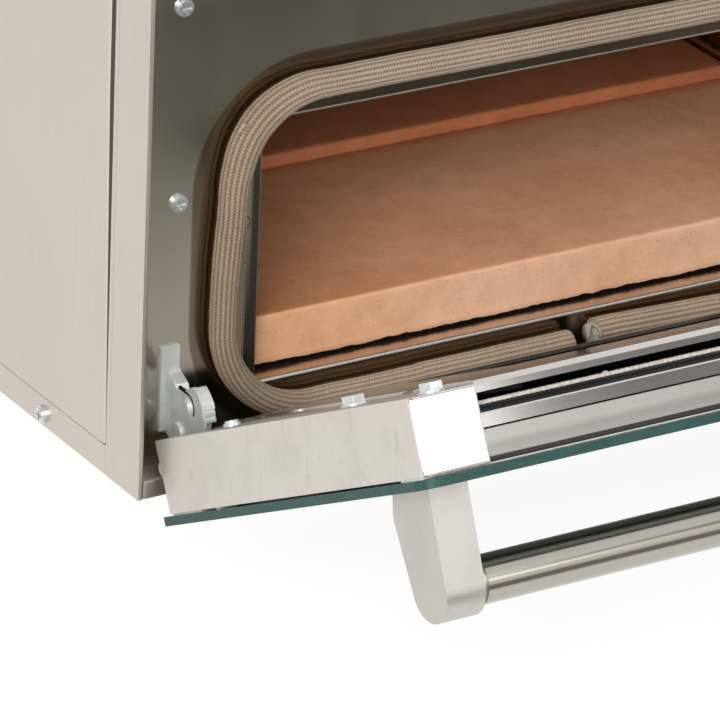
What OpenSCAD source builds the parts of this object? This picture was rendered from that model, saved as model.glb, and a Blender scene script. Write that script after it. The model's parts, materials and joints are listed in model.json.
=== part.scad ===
// Countertop electric pizza oven with a drop-down glazed door
// All sizes are in millimetres
// Body sizes count x from the left face, y back from the front edge, z up from the underside
// Door sizes count x the same way, d up from the hinge end, n outward from the inner face

/* [Casing] */
// Width of the casing
body_w = 565; // [540:1:640]
// Depth of the casing, front edge to back panel
body_d = 450; // [430:1:520]
// Height of the casing without the feet
body_h = 250; // [246:1:290]
// Height of the feet
foot_h = 25; // [20:0.5:35]
// Radius of a foot
foot_r = 16; // [12:0.5:20]
// Inset of the feet from the sides
foot_in_x = 40; // [30:1:60]
// Inset of the feet from the front and back
foot_in_y = 60; // [50:1:80]
// Thickness of the sheet steel
sheet = 1.2; // [0.8:0.1:1.5]
// Width of the control panel
panel_w = 87.8; // [80:0.1:110]
// Depth of the door recess in front of the mouth plate
recess = 25.4; // [25:0.1:31]
// Thickness of the folded edge round the recess
hem = 2.6; // [2.4:0.1:4]
// Height of the sill strip under the door
sill_h = 8; // [5:0.1:8.1]
// Height of the header strip over the door
header_h = 11.6; // [8:0.1:16]
// Height of the lower flange at the sides
flange_h = 13.4; // [10:0.1:18]

/* [Chamber] */
// Width of the mouth
mouth_w = 350; // [320:1:352]
// Height of the mouth
mouth_h = 121.1; // [110:0.1:124]
// Height of the mouth's lower lip over the underside
lip_z = 28.8; // [28:0.1:31]
// Width of the chamber beyond the mouth on each side
chamber_side = 4; // [2:0.5:8]
// Reach of the chamber's front flanges past the mouth's sides
jamb_w = 8.4; // [4:0.1:12]
// Distance of those flanges behind the mouth plate
jamb_back = 2; // [1:0.1:4]
// Height of the chamber over the mouth
chamber_over = 17.6; // [16:0.1:24]
// Space behind the chamber for the blanket
back_gap = 56; // [40:1:80]
// Height of the chamber floor
floor_z = 13.2; // [12:0.1:15]
// Depth of the ledge behind the lip
ledge_d = 28; // [20:1:34]

/* [Gasket] */
// Radius of the rope gasket
gasket_r = 6.5; // [5:0.1:6.7]
// Depth that the rope is pressed flat at the back
gasket_flat = 0.6; // [0.3:0.1:1]
// Corner radius of the rope's centre line
gasket_corner = 44; // [26:1:50]
// Distance of the rope's centre line from the mouth's sides
gasket_side = 13.5; // [12:0.5:16]
// Distance of the rope's centre line over the mouth
gasket_over = 13.9; // [10:0.1:15]
// Distance of the rope's centre line under the mouth
gasket_under = 11; // [9:0.1:12]
// Gap between the two rope ends
gasket_gap = 0.8; // [0.4:0.1:3]

/* [Stones and heating elements] */
// Thickness of the front stone
stone_t = 23.5; // [18:0.5:26]
// Extra height of the rear stone
stone_step = 5.2; // [2:0.1:8]
// Gap between the lip and the front stone's underside
stone_lift = 1; // [0.6:0.1:3]
// Distance of the front stone behind the mouth plate's face
stone_back = 11.6; // [8:0.1:16]
// Depth of the front stone
stone_d = 138.9; // [110:0.1:150]
// Gap round the stones
stone_gap = 2; // [1:0.1:4]
// Radius of the heating element tube
rod_r = 3.3; // [3:0.1:4]
// Distance between the heating element's runs
rod_pitch = 50; // [46:1:54]

/* [Door] */
// Angle of the open door at its stop
open_deg = 62.5; // [50:0.5:65]
// Height of the hinge axis
hinge_z = 12.9; // [12.8:0.1:14]
// Distance of the hinge axis in front of the casing's front edge
hinge_out = 1.2; // [1:0.1:2]
// Depth of the hinge axis in the door, from its inner face
hinge_n = 12.2; // [11:0.1:12.2]
// Distance of the hinge axis under the door's hinge end
hinge_d = 1.5; // [1:0.1:2.5]
// Gap between the door and the folded edge at each side
door_gap = 6.4; // [4:0.1:9]
// Gap between the door and the header
door_top = 9; // [6:0.1:12]
// Thickness of the door without its glass
door_t = 31.2; // [29:0.1:33]
// Width of a side member of the door
stile_w = 31; // [30:0.5:34]
// Thickness of the outer glass
glass_t = 4; // [4:0.5:6]
// Gap between the door and its glass
glass_gap = 0.8; // [0.5:0.1:2]
// Reach of the glass past the hinge end
glass_low = 7.7; // [4:0.1:8]
// Reach of the glass past the free end
glass_high = 1.5; // [0:0.1:3]
// Corner radius of the outer glass at the free end
glass_corner = 9; // [3:0.5:10]
// Corner radius of the outer glass at the hinge end
glass_heel = 3; // [1:0.5:8]
// Thickness of the polished inner plate
plate_t = 1.5; // [1:0.1:1.5]
// Width of the window
window_w = 258; // [200:1:280]
// Height of the window
window_h = 100; // [80:1:104]

/* [Handle] */
// Radius of the handle tube
tube_r = 10; // [8:0.5:12]
// Distance of the tube's axis from the glass
tube_out = 40.6; // [34:0.1:46]
// Distance of the tube's axis from the door's free end
tube_in = 33.4; // [28:0.1:40]
// Radius of a bracket's round tip
bracket_r = 13; // [12:0.5:14]
// Thickness of a bracket
bracket_t = 18; // [14:0.5:22]
// Inset of a bracket from the door's side
bracket_in = 11; // [8:0.5:14]

/* [Controls] */
// Radius of a knob's skirt
knob_r = 19; // [15:0.5:22]
// Length of a knob
knob_l = 19; // [14:0.5:24]
// Height of the upper knob's axis
knob_hi = 176; // [165:1:186]
// Height of the lower knob's axis
knob_lo = 108; // [100:1:115]
// Height of the power switch
switch_z = 46; // [40:1:55]
// Height of the pilot lamps
lamp_z = 218; // [214:1:225]
// Radius of the cord's hole in the cable gland
gland_r = 4.5; // [3:0.1:5]
// Height of the cable gland
gland_z = 60; // [40:1:80]

/* [Hidden] */
$fn = 64;
// Running clearance on a pin
run = 0.05;
// Position of the control panel's left edge
mid_x = body_w - panel_w;
// Sides of the door
door_x0 = hem + door_gap;
door_x1 = mid_x - hem - door_gap;
// Middle of the door and mouth
xm = (door_x0 + door_x1) / 2;
// Sides, bottom and top of the mouth
mouth_x0 = xm - mouth_w / 2;
mouth_x1 = xm + mouth_w / 2;
mouth_z1 = lip_z + mouth_h;
// Back of the mouth plate
plate_back = recess + sheet;
// Inside of the chamber
cham_x0 = mouth_x0 - chamber_side;
cham_x1 = mouth_x1 + chamber_side;
cham_y1 = body_d - back_gap - sheet;
cham_z1 = mouth_z1 + chamber_over;
// Centre line of the gasket
gas_x0 = mouth_x0 - gasket_side;
gas_x1 = mouth_x1 + gasket_side;
gas_z0 = lip_z - gasket_under;
gas_z1 = mouth_z1 + gasket_over;
gas_y = recess - gasket_r + gasket_flat;
// Stones
stone_y0 = recess + stone_back;
stone_y1 = stone_y0 + stone_d;
stone_z0 = lip_z + stone_lift;
stone_z1 = stone_z0 + stone_t;
stone_joint = 0.6;
rear_y0 = stone_y1 + stone_joint;
rear_y1 = cham_y1 - stone_gap;
// Posts under the stones: width, distance from the middle, inset from the front and from the back
post_w = 12;
post_x = 108;
post_in = 35;
post_end = 13;
// Heating elements: clear space behind the last run, inset of the bends, reach past the bay wall
rod_back = 20;
rod_side = 40;
rod_end = mid_x + 14;
// First run, set from the joint between the stones so that the posts stand between runs
rod_shift = 4;
rod_y0 = stone_y1 + stone_joint / 2 - 1.5 * rod_pitch + rod_shift;
// Number of runs, even so that both ends leave at the right
rod_runs = 2 * floor(((cham_y1 - rod_back - rod_y0) / rod_pitch + 1) / 2);
// Heights of the lower and upper element
rod_over = 6.4;
rod_under = 9;
rod_lo = floor_z + rod_over;
rod_hi = cham_z1 - rod_under;
// Radius of the hole round a heating element
rod_hole = rod_r + 0.6;
// Element clips: distance from the middle, thickness, width, reach past the rod's axis
clip_x = 60;
clip_t = 1.6;
clip_w = 14;
clip_reach = 6;
// Sensor bulbs: radius, axis from the chamber's side, length, first point
bulb_r = 2.5;
bulb_out = 6;
bulb_l = 80;
bulb_y = rod_y0 + 40;
// Lugs of a bulb: width, thickness, inset from the bulb's ends
lug_w = 6;
lug_t = 3;
lug_in = 10;
// Heights of the bulbs over the rear stone and under the top of the mouth
bulb_over = 8;
bulb_under = 6;
// Hinge axis and door planes when shut
hinge_y = -hinge_out;
door_y = hinge_y + hinge_n;
door_z = hinge_z + hinge_d;
door_len = body_h - header_h - door_top - door_z;
header_z = body_h - header_h;
// Glass planes
glass_n0 = door_t + glass_gap;
glass_n1 = glass_n0 + glass_t;
// Sheets between the side members: their free end, and the steps in a bend
end_in = 2;
sheet_end = door_len - end_in;
bend_steps = 6;
// Polished inner plate: start, gap beside it, its bend's radius and the depth of its folded end
plate_d0 = 4.5;
plate_gap = 0.8;
plate_bend = 2.5;
plate_fold = 3.7;
// Window edges, level with the middle of the mouth
win_mid = lip_z + mouth_h / 2 - door_z;
win_d0 = win_mid - window_h / 2;
win_d1 = win_mid + window_h / 2;
// Inner glass: thickness and reach past the window; width of its clip rails; thickness of the fibre sheet
inner_t = 4;
inner_grow = 8;
rail_w = 11.5;
fibre_t = 2;
// Reach that the fibre sheet stays behind the sheets' free end
fibre_in = 1;
// Depth of the door's liner and of its folded end, its thickness and its bend's radius
liner_n = 9.8;
liner_fold = 17.5;
liner_t = 1;
liner_bend = 2.5;
// Rail at the free end: seam to the liner, its bend's radius and the width of its flange
rail_seam = 0.6;
rail_bend = 3;
rail_flange = 20;
// Radius of the hinge pin and of the hinge knuckle
pin_r = 2.5;
knuckle_r = 4.7;
// Hinge arm's left side and thickness
arm_in = 18.5;
arm_t = 5;
// Tab of a hinge arm on the mouth plate: thickness, width, reach to the left, bottom and top
tab_t = 1.8;
tab_w = 9;
tab_in = 4.3;
tab_z0 = 17;
tab_z1 = 55.3;
// Lock lever: thickness, its rivet's place, radius and height, and its slot's radius and width
lever_t = 1.3;
rivet_y = 6.5;
rivet_z = 35.2;
rivet_r = 2.6;
rivet_h = 1.2;
slot_r = 5.2;
slot_w = 1.2;
// Angles of the slot's arc, reach of its straight stretch, rim of the rivet, the lever's pivot
slot_a0 = 95;
slot_a1 = 205;
slot_end = 14;
rivet_rim = 0.8;
pivot_y = 13.4;
pivot_z = 20.5;
pivot_r = 4.2;
// Slot for the hinge arm in a side member
slot_in0 = 13.6;
slot_in1 = 28;
slot_d = 33.6;
// Handle tube axis in the door
tube_n = glass_n1 + tube_out;
tube_d = door_len - tube_in;
// Collar between a bracket and the tube: length, step to the tube's outside, spigot's length, tube's wall
collar_l = 3.5;
collar_in = 1.2;
spigot_l = 8;
tube_wall = 2;
// Bracket's foot: half height below the axis, half height of its heel, depths where the heel starts and ends
bracket_low = 12.5;
bracket_heel = 16;
heel_n0 = 9;
heel_n1 = 12;
// Notches at a side member's free corners: inset, width, depth and length
notch_in = 0.6;
notch_w = 1.8;
notch_n = 2;
notch_d = 2.2;
// Reach of the inner plate over the window's edge, and of the outer glass past the door's sides
reveal = 4;
glass_side = 0.5;
// Spacers under the outer glass: inset, sizes of pad and strip, half sizes of the bracket's seat
pad_in = 1;
pad_w = 25;
strip_w = 8;
strip_d = 40;
strip_l = 3;
seat_w = 7;
seat_h = 14;
// Reach of the folded edges' inner leaf
leaf = 10;
// Seam between the lower flange and a side panel
seam = 0.3;
// Reach of the left edge's sheet past the mouth plate, and front of the left side panel
edge_over = 1.7;
left_y0 = plate_back + edge_over;
// Depth of the door bolts' column
bolt_in = 17;
// Middle of the control panel
ctl_x = mid_x + panel_w / 2;
// Front and back reach of the whole part, and the middle between them
tip_y = (door_y - tube_n) - hinge_y;
tip_z = door_z + tube_d - hinge_z;
front_y = hinge_y + tip_y * cos(open_deg) - tip_z * sin(open_deg) - bracket_r;
gland_out = 18;
back_y = body_d + gland_out;
y_mid = (front_y + back_y) / 2;
// Position of the cable gland
gland_x = mid_x + 48;
// Cable gland: radii of its thread, flange, dome and nut, and lengths of flange, dome's setback, nut and thread
gland_thread = 8;
gland_flange = 13;
gland_dome = 11;
gland_nut = 12;
gland_flange_l = 5;
gland_set = 3;
gland_nut_l = 5;
gland_in = 10;
// Clearance round a piece that passes through sheet
hole_gap = 0.3;
// Vents in the right side: first one, spacing, length, height, distance from bottom and top
vent_y = 120;
vent_pitch = 40;
vent_l = 26;
vent_h = 5;
vent_lo = 40;
vent_hi = 80;
vent_end = 90;
vent_runs = floor((body_d - vent_y - vent_end) / vent_pitch);
// Vents in the back: number, first height, spacing, inset and width
back_vents = 6;
back_vent_z = 120;
back_vent_pitch = 14;
back_vent_in = 20;
back_vent_w = 48;
// Thermostats: half width, depth, terminal half width and half height, depth of the terminals
stat_w = 20;
stat_d = 32;
stat_tag_w = 8;
stat_tag_h = 15;
stat_tag_d = 40;
// Knob shaft: radius, reach into the thermostat, depth of its bore, hole in the panel
shaft_r = 3;
shaft_l = 15;
shaft_bore = 18;
shaft_hole = 5;
// Knob: skirt's gap and thickness, step to the grip, width of the bar, depth and width of the pointer slot
skirt_gap = 0.5;
skirt_t = 3;
knob_step = 4;
bar_w = 8;
bar_out = 3;
pointer_w = 1.6;
pointer_t = 0.8;
// Pilot lamps: distance from the middle, radii of lens and barrel, reach out and in
lamp_x = 15;
lamp_lens = 6;
lamp_r = 4.2;
lamp_out = 2.5;
lamp_in = 20;
lamp_hole = 0.1;
// Power switch: half sizes of its housing, bezel and pocket, and their depths
switch_w = 9.4;
switch_h = 13.9;
switch_d = 22;
bezel_w = 12;
bezel_h = 16.5;
bezel_t = 2;
pocket_w = 7.6;
pocket_h = 11;
pocket_d = 15;
// Rocker: half sizes, reach out and in from its pin, pin's radius, half length and depth, tilt
rocker_w = 7.2;
rocker_h = 9.6;
rocker_out = 4.2;
rocker_in = 3;
rocker_pin = 1.2;
rocker_pin_l = 8.8;
rocker_y = 1.5;
rocker_tilt = 9;
// Terminal block: inset, distance from the back, width, depth, top; slots' spacing, width, depth and floor
block_in = 20;
block_back = 90;
block_w = 50;
block_d = 26;
block_top = 24;
block_pitch = 12;
block_slot = 6;
block_slot_d = 9;
block_slot_z = 10;
// Feet: bevel's height and inset, stud's radius and the play in its hole
foot_bevel = 4;
foot_taper = 2;
stud_r = 3;
// Screw heads: radii of rim and crown, heights, cross recess
head_rim = 3.9;
head_crown = 3.1;
head_low = 1.4;
head_high = 2.4;
cross_l = 2.1;
cross_w = 0.5;
cross_floor = 1.2;
// Screws in the mouth plate: inset from the left face and heights
plate_screw_x = 30.4;
plate_screw_z = [119.5, 206.5];
// Screws in the lower flange: first one, height, last one's distance from the back
flange_screw_y = 82;
flange_screw_z = 5.6;
flange_screw_end = 40;
// Handle screws: half spacing, radius, head's radius and height, reach into the bracket
handle_pitch = 7.5;
handle_screw_r = 2.45;
handle_head_r = 4.2;
handle_head_l = 3;
handle_screw_l = 13;
handle_hole = 2.8;
// Door bolts: distance of the two hex bolts and of the pan head from the free end and the hinge slot
bolt_top = 9.5;
bolt_low = 72;
bolt_over = 5.4;
bolt_r = 5.2;
bolt_h = 4.2;
washer_r = 6;
washer_t = 0.8;
// Hinge channel: wall, length, floor's depth behind the axis, inset from the inner sheet
chan_t = 1.4;
chan_l = 90;
chan_floor = 8.4;
chan_in = 0.6;
chan_neck = 4.6;
chan_d0 = 0.5;
chan_floor_d = 12;
chan_ear = 0.1;
// Hinge pin: inset of its ends and of its head from the side member's sides, extra radius of the head
pin_in = 2.5;
pin_end = 2;
pin_head_in = 1.6;
pin_head = 0.7;

// Helpers for placing and simple shapes
module place_body() {
    translate([-body_w / 2, -y_mid, foot_h]) children();
}

module place_door() {
    place_body()
        translate([0, hinge_y, hinge_z])
            rotate([open_deg, 0, 0])
                translate([0, -hinge_y, -hinge_z]) children();
}

module slab(x0, x1, y0, y1, z0, z1) {
    translate([x0, y0, z0]) cube([x1 - x0, y1 - y0, z1 - z0]);
}

module door_slab(x0, x1, n0, n1, d0, d1) {
    slab(x0, x1, door_y - n1, door_y - n0, door_z + d0, door_z + d1);
}

module rod_x(x0, x1, y, z, r) {
    translate([x0, y, z]) rotate([0, 90, 0]) cylinder(h = x1 - x0, r = r);
}

module rod_y(x, y0, y1, z, r) {
    translate([x, y0, z]) rotate([-90, 0, 0]) cylinder(h = y1 - y0, r = r);
}

module door_rod(x, n0, n1, d, r) {
    rod_y(x, door_y - n1, door_y - n0, door_z + d, r);
}

// Copies a child at the left side of the door and its mirror image at the right side
module both_sides() {
    children();
    translate([2 * xm, 0, 0]) mirror([1, 0, 0]) children();
}

// Extrudes a shape drawn in y and z along x
module along_x(x0, x1) {
    translate([x0, 0, 0]) rotate([90, 0, 90]) linear_extrude(height = x1 - x0) children();
}

// Extrudes an outline given in door sizes n and d along x
module along_door(x0, x1, outline) {
    along_x(x0, x1) polygon([for (p = outline) [door_y - p[0], door_z + p[1]]]);
}

// Points of an arc in n and d
function arc(n, d, r, a0, a1) = [for (i = [0:bend_steps])
    let (a = a0 + (a1 - a0) * i / bend_steps) [n + r * cos(a), d + r * sin(a)]];

// Outline of a sheet at depth n0 that is bent outward at its free end and folded on to depth n1
function bent_sheet(n0, t, r, d0, d1, n1) = concat(
    [[n0, d0]], arc(n0 + r, d1 - r, r, 180, 90), [[n1, d1], [n1, d1 - t]],
    arc(n0 + r, d1 - r, r - t, 90, 180), [[n0 + t, d0]]);

// Casing
module base_pan() {
    color([0.72, 0.7, 0.67])
        place_body()
            difference() {
                union() {
                    slab(0, body_w, plate_back, body_d - sheet, 0, sheet);
                    slab(mid_x, body_w, sheet, plate_back, 0, sheet);
                    slab(0, sheet, left_y0, body_d - sheet, 0, flange_h);
                    slab(body_w - sheet, body_w, plate_back, body_d - sheet, 0, flange_h);
                }
                for (x = [foot_in_x, body_w - foot_in_x])
                    for (y = [foot_in_y, body_d - foot_in_y])
                        translate([x, y, -1]) cylinder(h = sheet + 2, r = stud_r + hole_gap);
            }
}

module side_panel(x0, y0) {
    slab(x0, x0 + sheet, y0, body_d - sheet, flange_h + seam, body_h - sheet);
}

module side_left() {
    color([0.76, 0.73, 0.7])
        place_body() side_panel(0, left_y0);
}

module side_right() {
    color([0.76, 0.73, 0.7])
        place_body()
            difference() {
                union() {
                    side_panel(body_w - sheet, plate_back);
                    slab(body_w - sheet, body_w, sheet, plate_back, sheet, body_h - sheet);
                }
                for (i = [0:vent_runs - 1])
                    for (z = [vent_lo, body_h - vent_hi])
                        translate([body_w - sheet - 1, vent_y + i * vent_pitch, z])
                            cube([sheet + 2, vent_l, vent_h]);
            }
}

module top_cover() {
    color([0.76, 0.73, 0.7])
        place_body()
            union() {
                slab(0, body_w, plate_back, body_d, body_h - sheet, body_h);
                slab(mid_x, body_w, sheet, plate_back, body_h - sheet, body_h);
            }
}

module back_panel() {
    color([0.72, 0.7, 0.67])
        place_body()
            difference() {
                slab(0, body_w, body_d - sheet, body_d, 0, body_h - sheet);
                rod_y(gland_x, body_d - 5, body_d + 5, gland_z, gland_thread + hole_gap);
                for (i = [0:back_vents - 1])
                    translate([mid_x + back_vent_in, body_d - 5, back_vent_z + i * back_vent_pitch])
                        cube([back_vent_w, 10, vent_h]);
            }
}

// Folded edges round the door recess
module edge_shape(w) {
    square([sheet, w]);
    translate([0, hem / 2]) square([hem, leaf]);
    translate([hem / 2, hem / 2]) circle(r = hem / 2);
}

module frame_left() {
    color([0.78, 0.75, 0.71])
        place_body()
            union() {
                linear_extrude(height = body_h) edge_shape(recess + sheet - seam);
                slab(0, sheet, hem, left_y0 - seam, sheet, body_h - sheet);
            }
}

module frame_mid() {
    color([0.78, 0.75, 0.71])
        place_body()
            translate([mid_x, 0, 0]) mirror([1, 0, 0])
                linear_extrude(height = body_h) edge_shape(recess + sheet);
}

module frame_sill() {
    color([0.78, 0.75, 0.71])
        place_body()
            union() {
                slab(hem, mid_x - hem, 0, sheet, 0, sill_h);
                slab(hem, mid_x - hem, sheet - 0.1, plate_back, 0, sheet);
            }
}

module frame_header() {
    color([0.78, 0.75, 0.71])
        place_body()
            union() {
                slab(hem, mid_x - hem, 0, sheet, header_z, body_h);
                slab(hem, mid_x - hem, sheet - 0.1, plate_back, body_h - sheet, body_h);
            }
}

module control_panel() {
    color([0.74, 0.72, 0.69])
        place_body()
            difference() {
                slab(mid_x, body_w, 0, sheet, 0, body_h);
                for (z = [knob_hi, knob_lo])
                    rod_y(ctl_x, -1, sheet + 1, z, shaft_hole);
                for (x = [-lamp_x, lamp_x])
                    rod_y(ctl_x + x, -1, sheet + 1, lamp_z, lamp_r + lamp_hole);
                slab(ctl_x - switch_w - lamp_hole, ctl_x + switch_w + lamp_hole, -1, sheet + 1,
                    switch_z - switch_h - lamp_hole, switch_z + switch_h + lamp_hole);
            }
}

// Mouth and chamber
module mouth_plate() {
    color([0.55, 0.54, 0.5])
        place_body()
            difference() {
                slab(sheet, mid_x - sheet, recess, plate_back, sheet, body_h - sheet);
                slab(mouth_x0, mouth_x1, recess - 1, plate_back + 1, lip_z, mouth_z1);
            }
}

module gasket_corner_piece(x, z, turn) {
    translate([x, gas_y, z]) rotate([90, 0, 0]) rotate([0, 0, turn])
        rotate_extrude(angle = 90) translate([gasket_corner, 0]) circle(r = gasket_r);
}

module gasket() {
    c = gasket_corner;
    color([0.62, 0.54, 0.45])
        place_body()
            difference() {
                union() {
                    translate([gas_x0, gas_y, gas_z0 + c]) cylinder(h = gas_z1 - gas_z0 - 2 * c, r = gasket_r);
                    translate([gas_x1, gas_y, gas_z0 + c]) cylinder(h = gas_z1 - gas_z0 - 2 * c, r = gasket_r);
                    rod_x(gas_x0 + c, gas_x1 - c, gas_y, gas_z1, gasket_r);
                    rod_x(gas_x0 + c, xm - gasket_gap / 2, gas_y, gas_z0, gasket_r);
                    rod_x(xm + gasket_gap / 2, gas_x1 - c, gas_y, gas_z0, gasket_r);
                    gasket_corner_piece(gas_x1 - c, gas_z1 - c, 0);
                    gasket_corner_piece(gas_x0 + c, gas_z1 - c, 90);
                    gasket_corner_piece(gas_x0 + c, gas_z0 + c, 180);
                    gasket_corner_piece(gas_x1 - c, gas_z0 + c, 270);
                }
                slab(0, body_w, recess, recess + 20, -20, body_h);
            }
}

module chamber_floor() {
    color([0.5, 0.49, 0.47])
        place_body()
            slab(cham_x0 - sheet, cham_x1 + sheet, plate_back, cham_y1, floor_z - sheet, floor_z);
}

module mouth_ledge() {
    color([0.6, 0.58, 0.55])
        place_body()
            union() {
                slab(cham_x0, cham_x1, plate_back, plate_back + ledge_d, lip_z - sheet, lip_z);
                slab(cham_x0, cham_x1, plate_back + ledge_d - sheet, plate_back + ledge_d,
                    floor_z, lip_z - 0.1);
            }
}

// Front flange of a chamber side, over the ledge
module jamb(x0, x1) {
    slab(x0, x1, plate_back + jamb_back, plate_back + jamb_back + sheet, lip_z + seam, cham_z1);
}

module chamber_left() {
    color([0.45, 0.44, 0.42])
        place_body()
            union() {
                slab(cham_x0 - sheet, cham_x0, plate_back, cham_y1, floor_z, cham_z1);
                jamb(cham_x0 - sheet, mouth_x0 + jamb_w);
            }
}

module chamber_right() {
    color([0.45, 0.44, 0.42])
        place_body()
            difference() {
                union() {
                    slab(cham_x1, cham_x1 + sheet, plate_back, cham_y1, floor_z, cham_z1);
                    jamb(mouth_x1 - jamb_w, cham_x1 + sheet);
                }
                rod_holes();
            }
}

module chamber_back() {
    color([0.45, 0.44, 0.42])
        place_body()
            slab(cham_x0 - sheet, cham_x1 + sheet, cham_y1, cham_y1 + sheet, floor_z - sheet, cham_z1 + sheet);
}

module chamber_ceiling() {
    color([0.45, 0.44, 0.42])
        place_body()
            slab(cham_x0 - sheet, cham_x1 + sheet, plate_back, cham_y1, cham_z1, cham_z1 + sheet);
}

// Baking stones
module stone_front() {
    color([0.8, 0.56, 0.42])
        place_body()
            slab(cham_x0 + stone_gap, cham_x1 - stone_gap, stone_y0, stone_y1, stone_z0, stone_z1);
}

module stone_rear() {
    color([0.72, 0.48, 0.36])
        place_body()
            slab(cham_x0 + stone_gap, cham_x1 - stone_gap, rear_y0, rear_y1,
                stone_z0, stone_z1 + stone_step);
}

module stone_posts() {
    joint_y = stone_y1 + stone_joint / 2;
    ys = concat([stone_y0 + post_in], [for (y = [joint_y:2 * rod_pitch:rear_y1 - post_end]) y]);
    color([0.55, 0.53, 0.5])
        place_body()
            for (x = [xm - post_x, xm + post_x])
                for (y = ys)
                    translate([x - post_w / 2, y - post_w / 2, floor_z])
                        cube([post_w, post_w, stone_z0 - floor_z]);
}

// Heating elements
module rod_holes() {
    for (z = [rod_lo, rod_hi])
        for (y = [rod_y0, rod_y0 + (rod_runs - 1) * rod_pitch])
            rod_x(cham_x1 - 5, rod_end + 5, y, z, rod_hole);
}

module bend(x, y, z, turn) {
    translate([x, y, z]) rotate([0, 0, turn])
        rotate_extrude(angle = 180) translate([rod_pitch / 2, 0]) circle(r = rod_r);
}

module element(z) {
    xl = cham_x0 + rod_side;
    xr = cham_x1 - rod_side;
    last = rod_runs - 1;
    for (i = [0:last])
        rod_x(xl, i == 0 || i == last ? rod_end : xr, rod_y0 + i * rod_pitch, z, rod_r);
    for (i = [0:2:last - 1])
        bend(xl, rod_y0 + (i + 0.5) * rod_pitch, z, 90);
    for (i = [1:2:last - 1])
        bend(xr, rod_y0 + (i + 0.5) * rod_pitch, z, -90);
}

module element_top() {
    color([0.3, 0.3, 0.3])
        place_body() union() element(rod_hi);
}

module element_bottom() {
    color([0.3, 0.3, 0.3])
        place_body() union() element(rod_lo);
}

module clip(x, y, z, z0, z1) {
    difference() {
        slab(x - clip_t / 2, x + clip_t / 2, y - clip_w / 2, y + clip_w / 2, z0, z1);
        rod_x(x - 2, x + 2, y, z, rod_r + run);
    }
}

module element_clips() {
    color([0.6, 0.58, 0.55])
        place_body()
            for (x = [xm - clip_x, xm + clip_x])
                for (i = [0:2:rod_runs - 1]) {
                    clip(x, rod_y0 + i * rod_pitch, rod_hi, rod_hi - clip_reach, cham_z1);
                    clip(x, rod_y0 + i * rod_pitch, rod_lo, floor_z, rod_lo + clip_reach);
                }
}

module sensor_bulbs() {
    x = cham_x1 - bulb_out;
    color([0.75, 0.6, 0.4])
        place_body()
            for (z = [stone_z1 + stone_step + bulb_over, mouth_z1 - bulb_under])
                union() {
                    rod_y(x, bulb_y, bulb_y + bulb_l, z, bulb_r);
                    for (y = [bulb_y + lug_in, bulb_y + bulb_l - lug_in - lug_w])
                        slab(x, cham_x1, y, y + lug_w, z - lug_t / 2, z + lug_t / 2);
                }
}

// Insulation
module blanket_sides() {
    color([0.85, 0.82, 0.72])
        place_body() {
            slab(sheet, cham_x0 - sheet, plate_back, body_d - sheet, sheet, body_h - sheet);
            difference() {
                slab(cham_x1 + sheet, mid_x - sheet, plate_back, body_d - sheet, sheet, body_h - sheet);
                rod_holes();
            }
        }
}

module blanket_back() {
    color([0.85, 0.82, 0.72])
        place_body()
            slab(cham_x0 - sheet, cham_x1 + sheet, cham_y1 + sheet, body_d - sheet, sheet, body_h - sheet);
}

module blanket_top() {
    color([0.85, 0.82, 0.72])
        place_body()
            slab(cham_x0 - sheet, cham_x1 + sheet, plate_back, cham_y1, cham_z1 + sheet, body_h - sheet);
}

module blanket_bottom() {
    color([0.85, 0.82, 0.72])
        place_body()
            slab(cham_x0 - sheet, cham_x1 + sheet, plate_back, cham_y1, sheet, floor_z - sheet);
}

module bay_wall() {
    color([0.6, 0.6, 0.58])
        place_body()
            difference() {
                slab(mid_x - sheet, mid_x, plate_back, body_d - sheet, sheet, body_h - sheet);
                rod_holes();
            }
}

// Controls
module thermostats() {
    color([0.15, 0.15, 0.16])
        place_body()
            for (z = [knob_hi, knob_lo])
                difference() {
                    union() {
                        slab(ctl_x - stat_w, ctl_x + stat_w, sheet, stat_d, z - stat_w, z + stat_w);
                        slab(ctl_x - stat_tag_w, ctl_x + stat_tag_w, stat_d - 1, stat_tag_d,
                            z - stat_tag_h, z + stat_tag_h);
                    }
                    rod_y(ctl_x, -1, shaft_bore, z, shaft_r + run);
                }
}

module knob(z) {
    difference() {
        union() {
            rod_y(ctl_x, -skirt_gap - skirt_t, -skirt_gap, z, knob_r);
            rod_y(ctl_x, -knob_l, -skirt_t, z, knob_r - knob_step);
            slab(ctl_x - bar_w / 2, ctl_x + bar_w / 2, -knob_l - bar_out, -skirt_t,
                z - knob_r + knob_step + 1, z + knob_r - knob_step + 1);
            rod_y(ctl_x, -skirt_t, shaft_l, z, shaft_r);
        }
        slab(ctl_x - pointer_w / 2, ctl_x + pointer_w / 2, -knob_l - bar_out - 1,
            -knob_l - bar_out + pointer_t, z, z + knob_r);
    }
}

module knob_top() {
    color([0.08, 0.08, 0.08])
        place_body() knob(knob_hi);
}

module knob_bottom() {
    color([0.08, 0.08, 0.08])
        place_body() knob(knob_lo);
}

module switch_body() {
    color([0.1, 0.1, 0.1])
        place_body()
            difference() {
                union() {
                    slab(ctl_x - bezel_w, ctl_x + bezel_w, -bezel_t, 0, switch_z - bezel_h, switch_z + bezel_h);
                    slab(ctl_x - switch_w, ctl_x + switch_w, -0.5, switch_d,
                        switch_z - switch_h, switch_z + switch_h);
                }
                slab(ctl_x - pocket_w, ctl_x + pocket_w, -bezel_t - 1, pocket_d,
                    switch_z - pocket_h, switch_z + pocket_h);
                rod_x(ctl_x - rocker_pin_l - hole_gap, ctl_x + rocker_pin_l + hole_gap, rocker_y, switch_z,
                    rocker_pin + run);
            }
}

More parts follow.
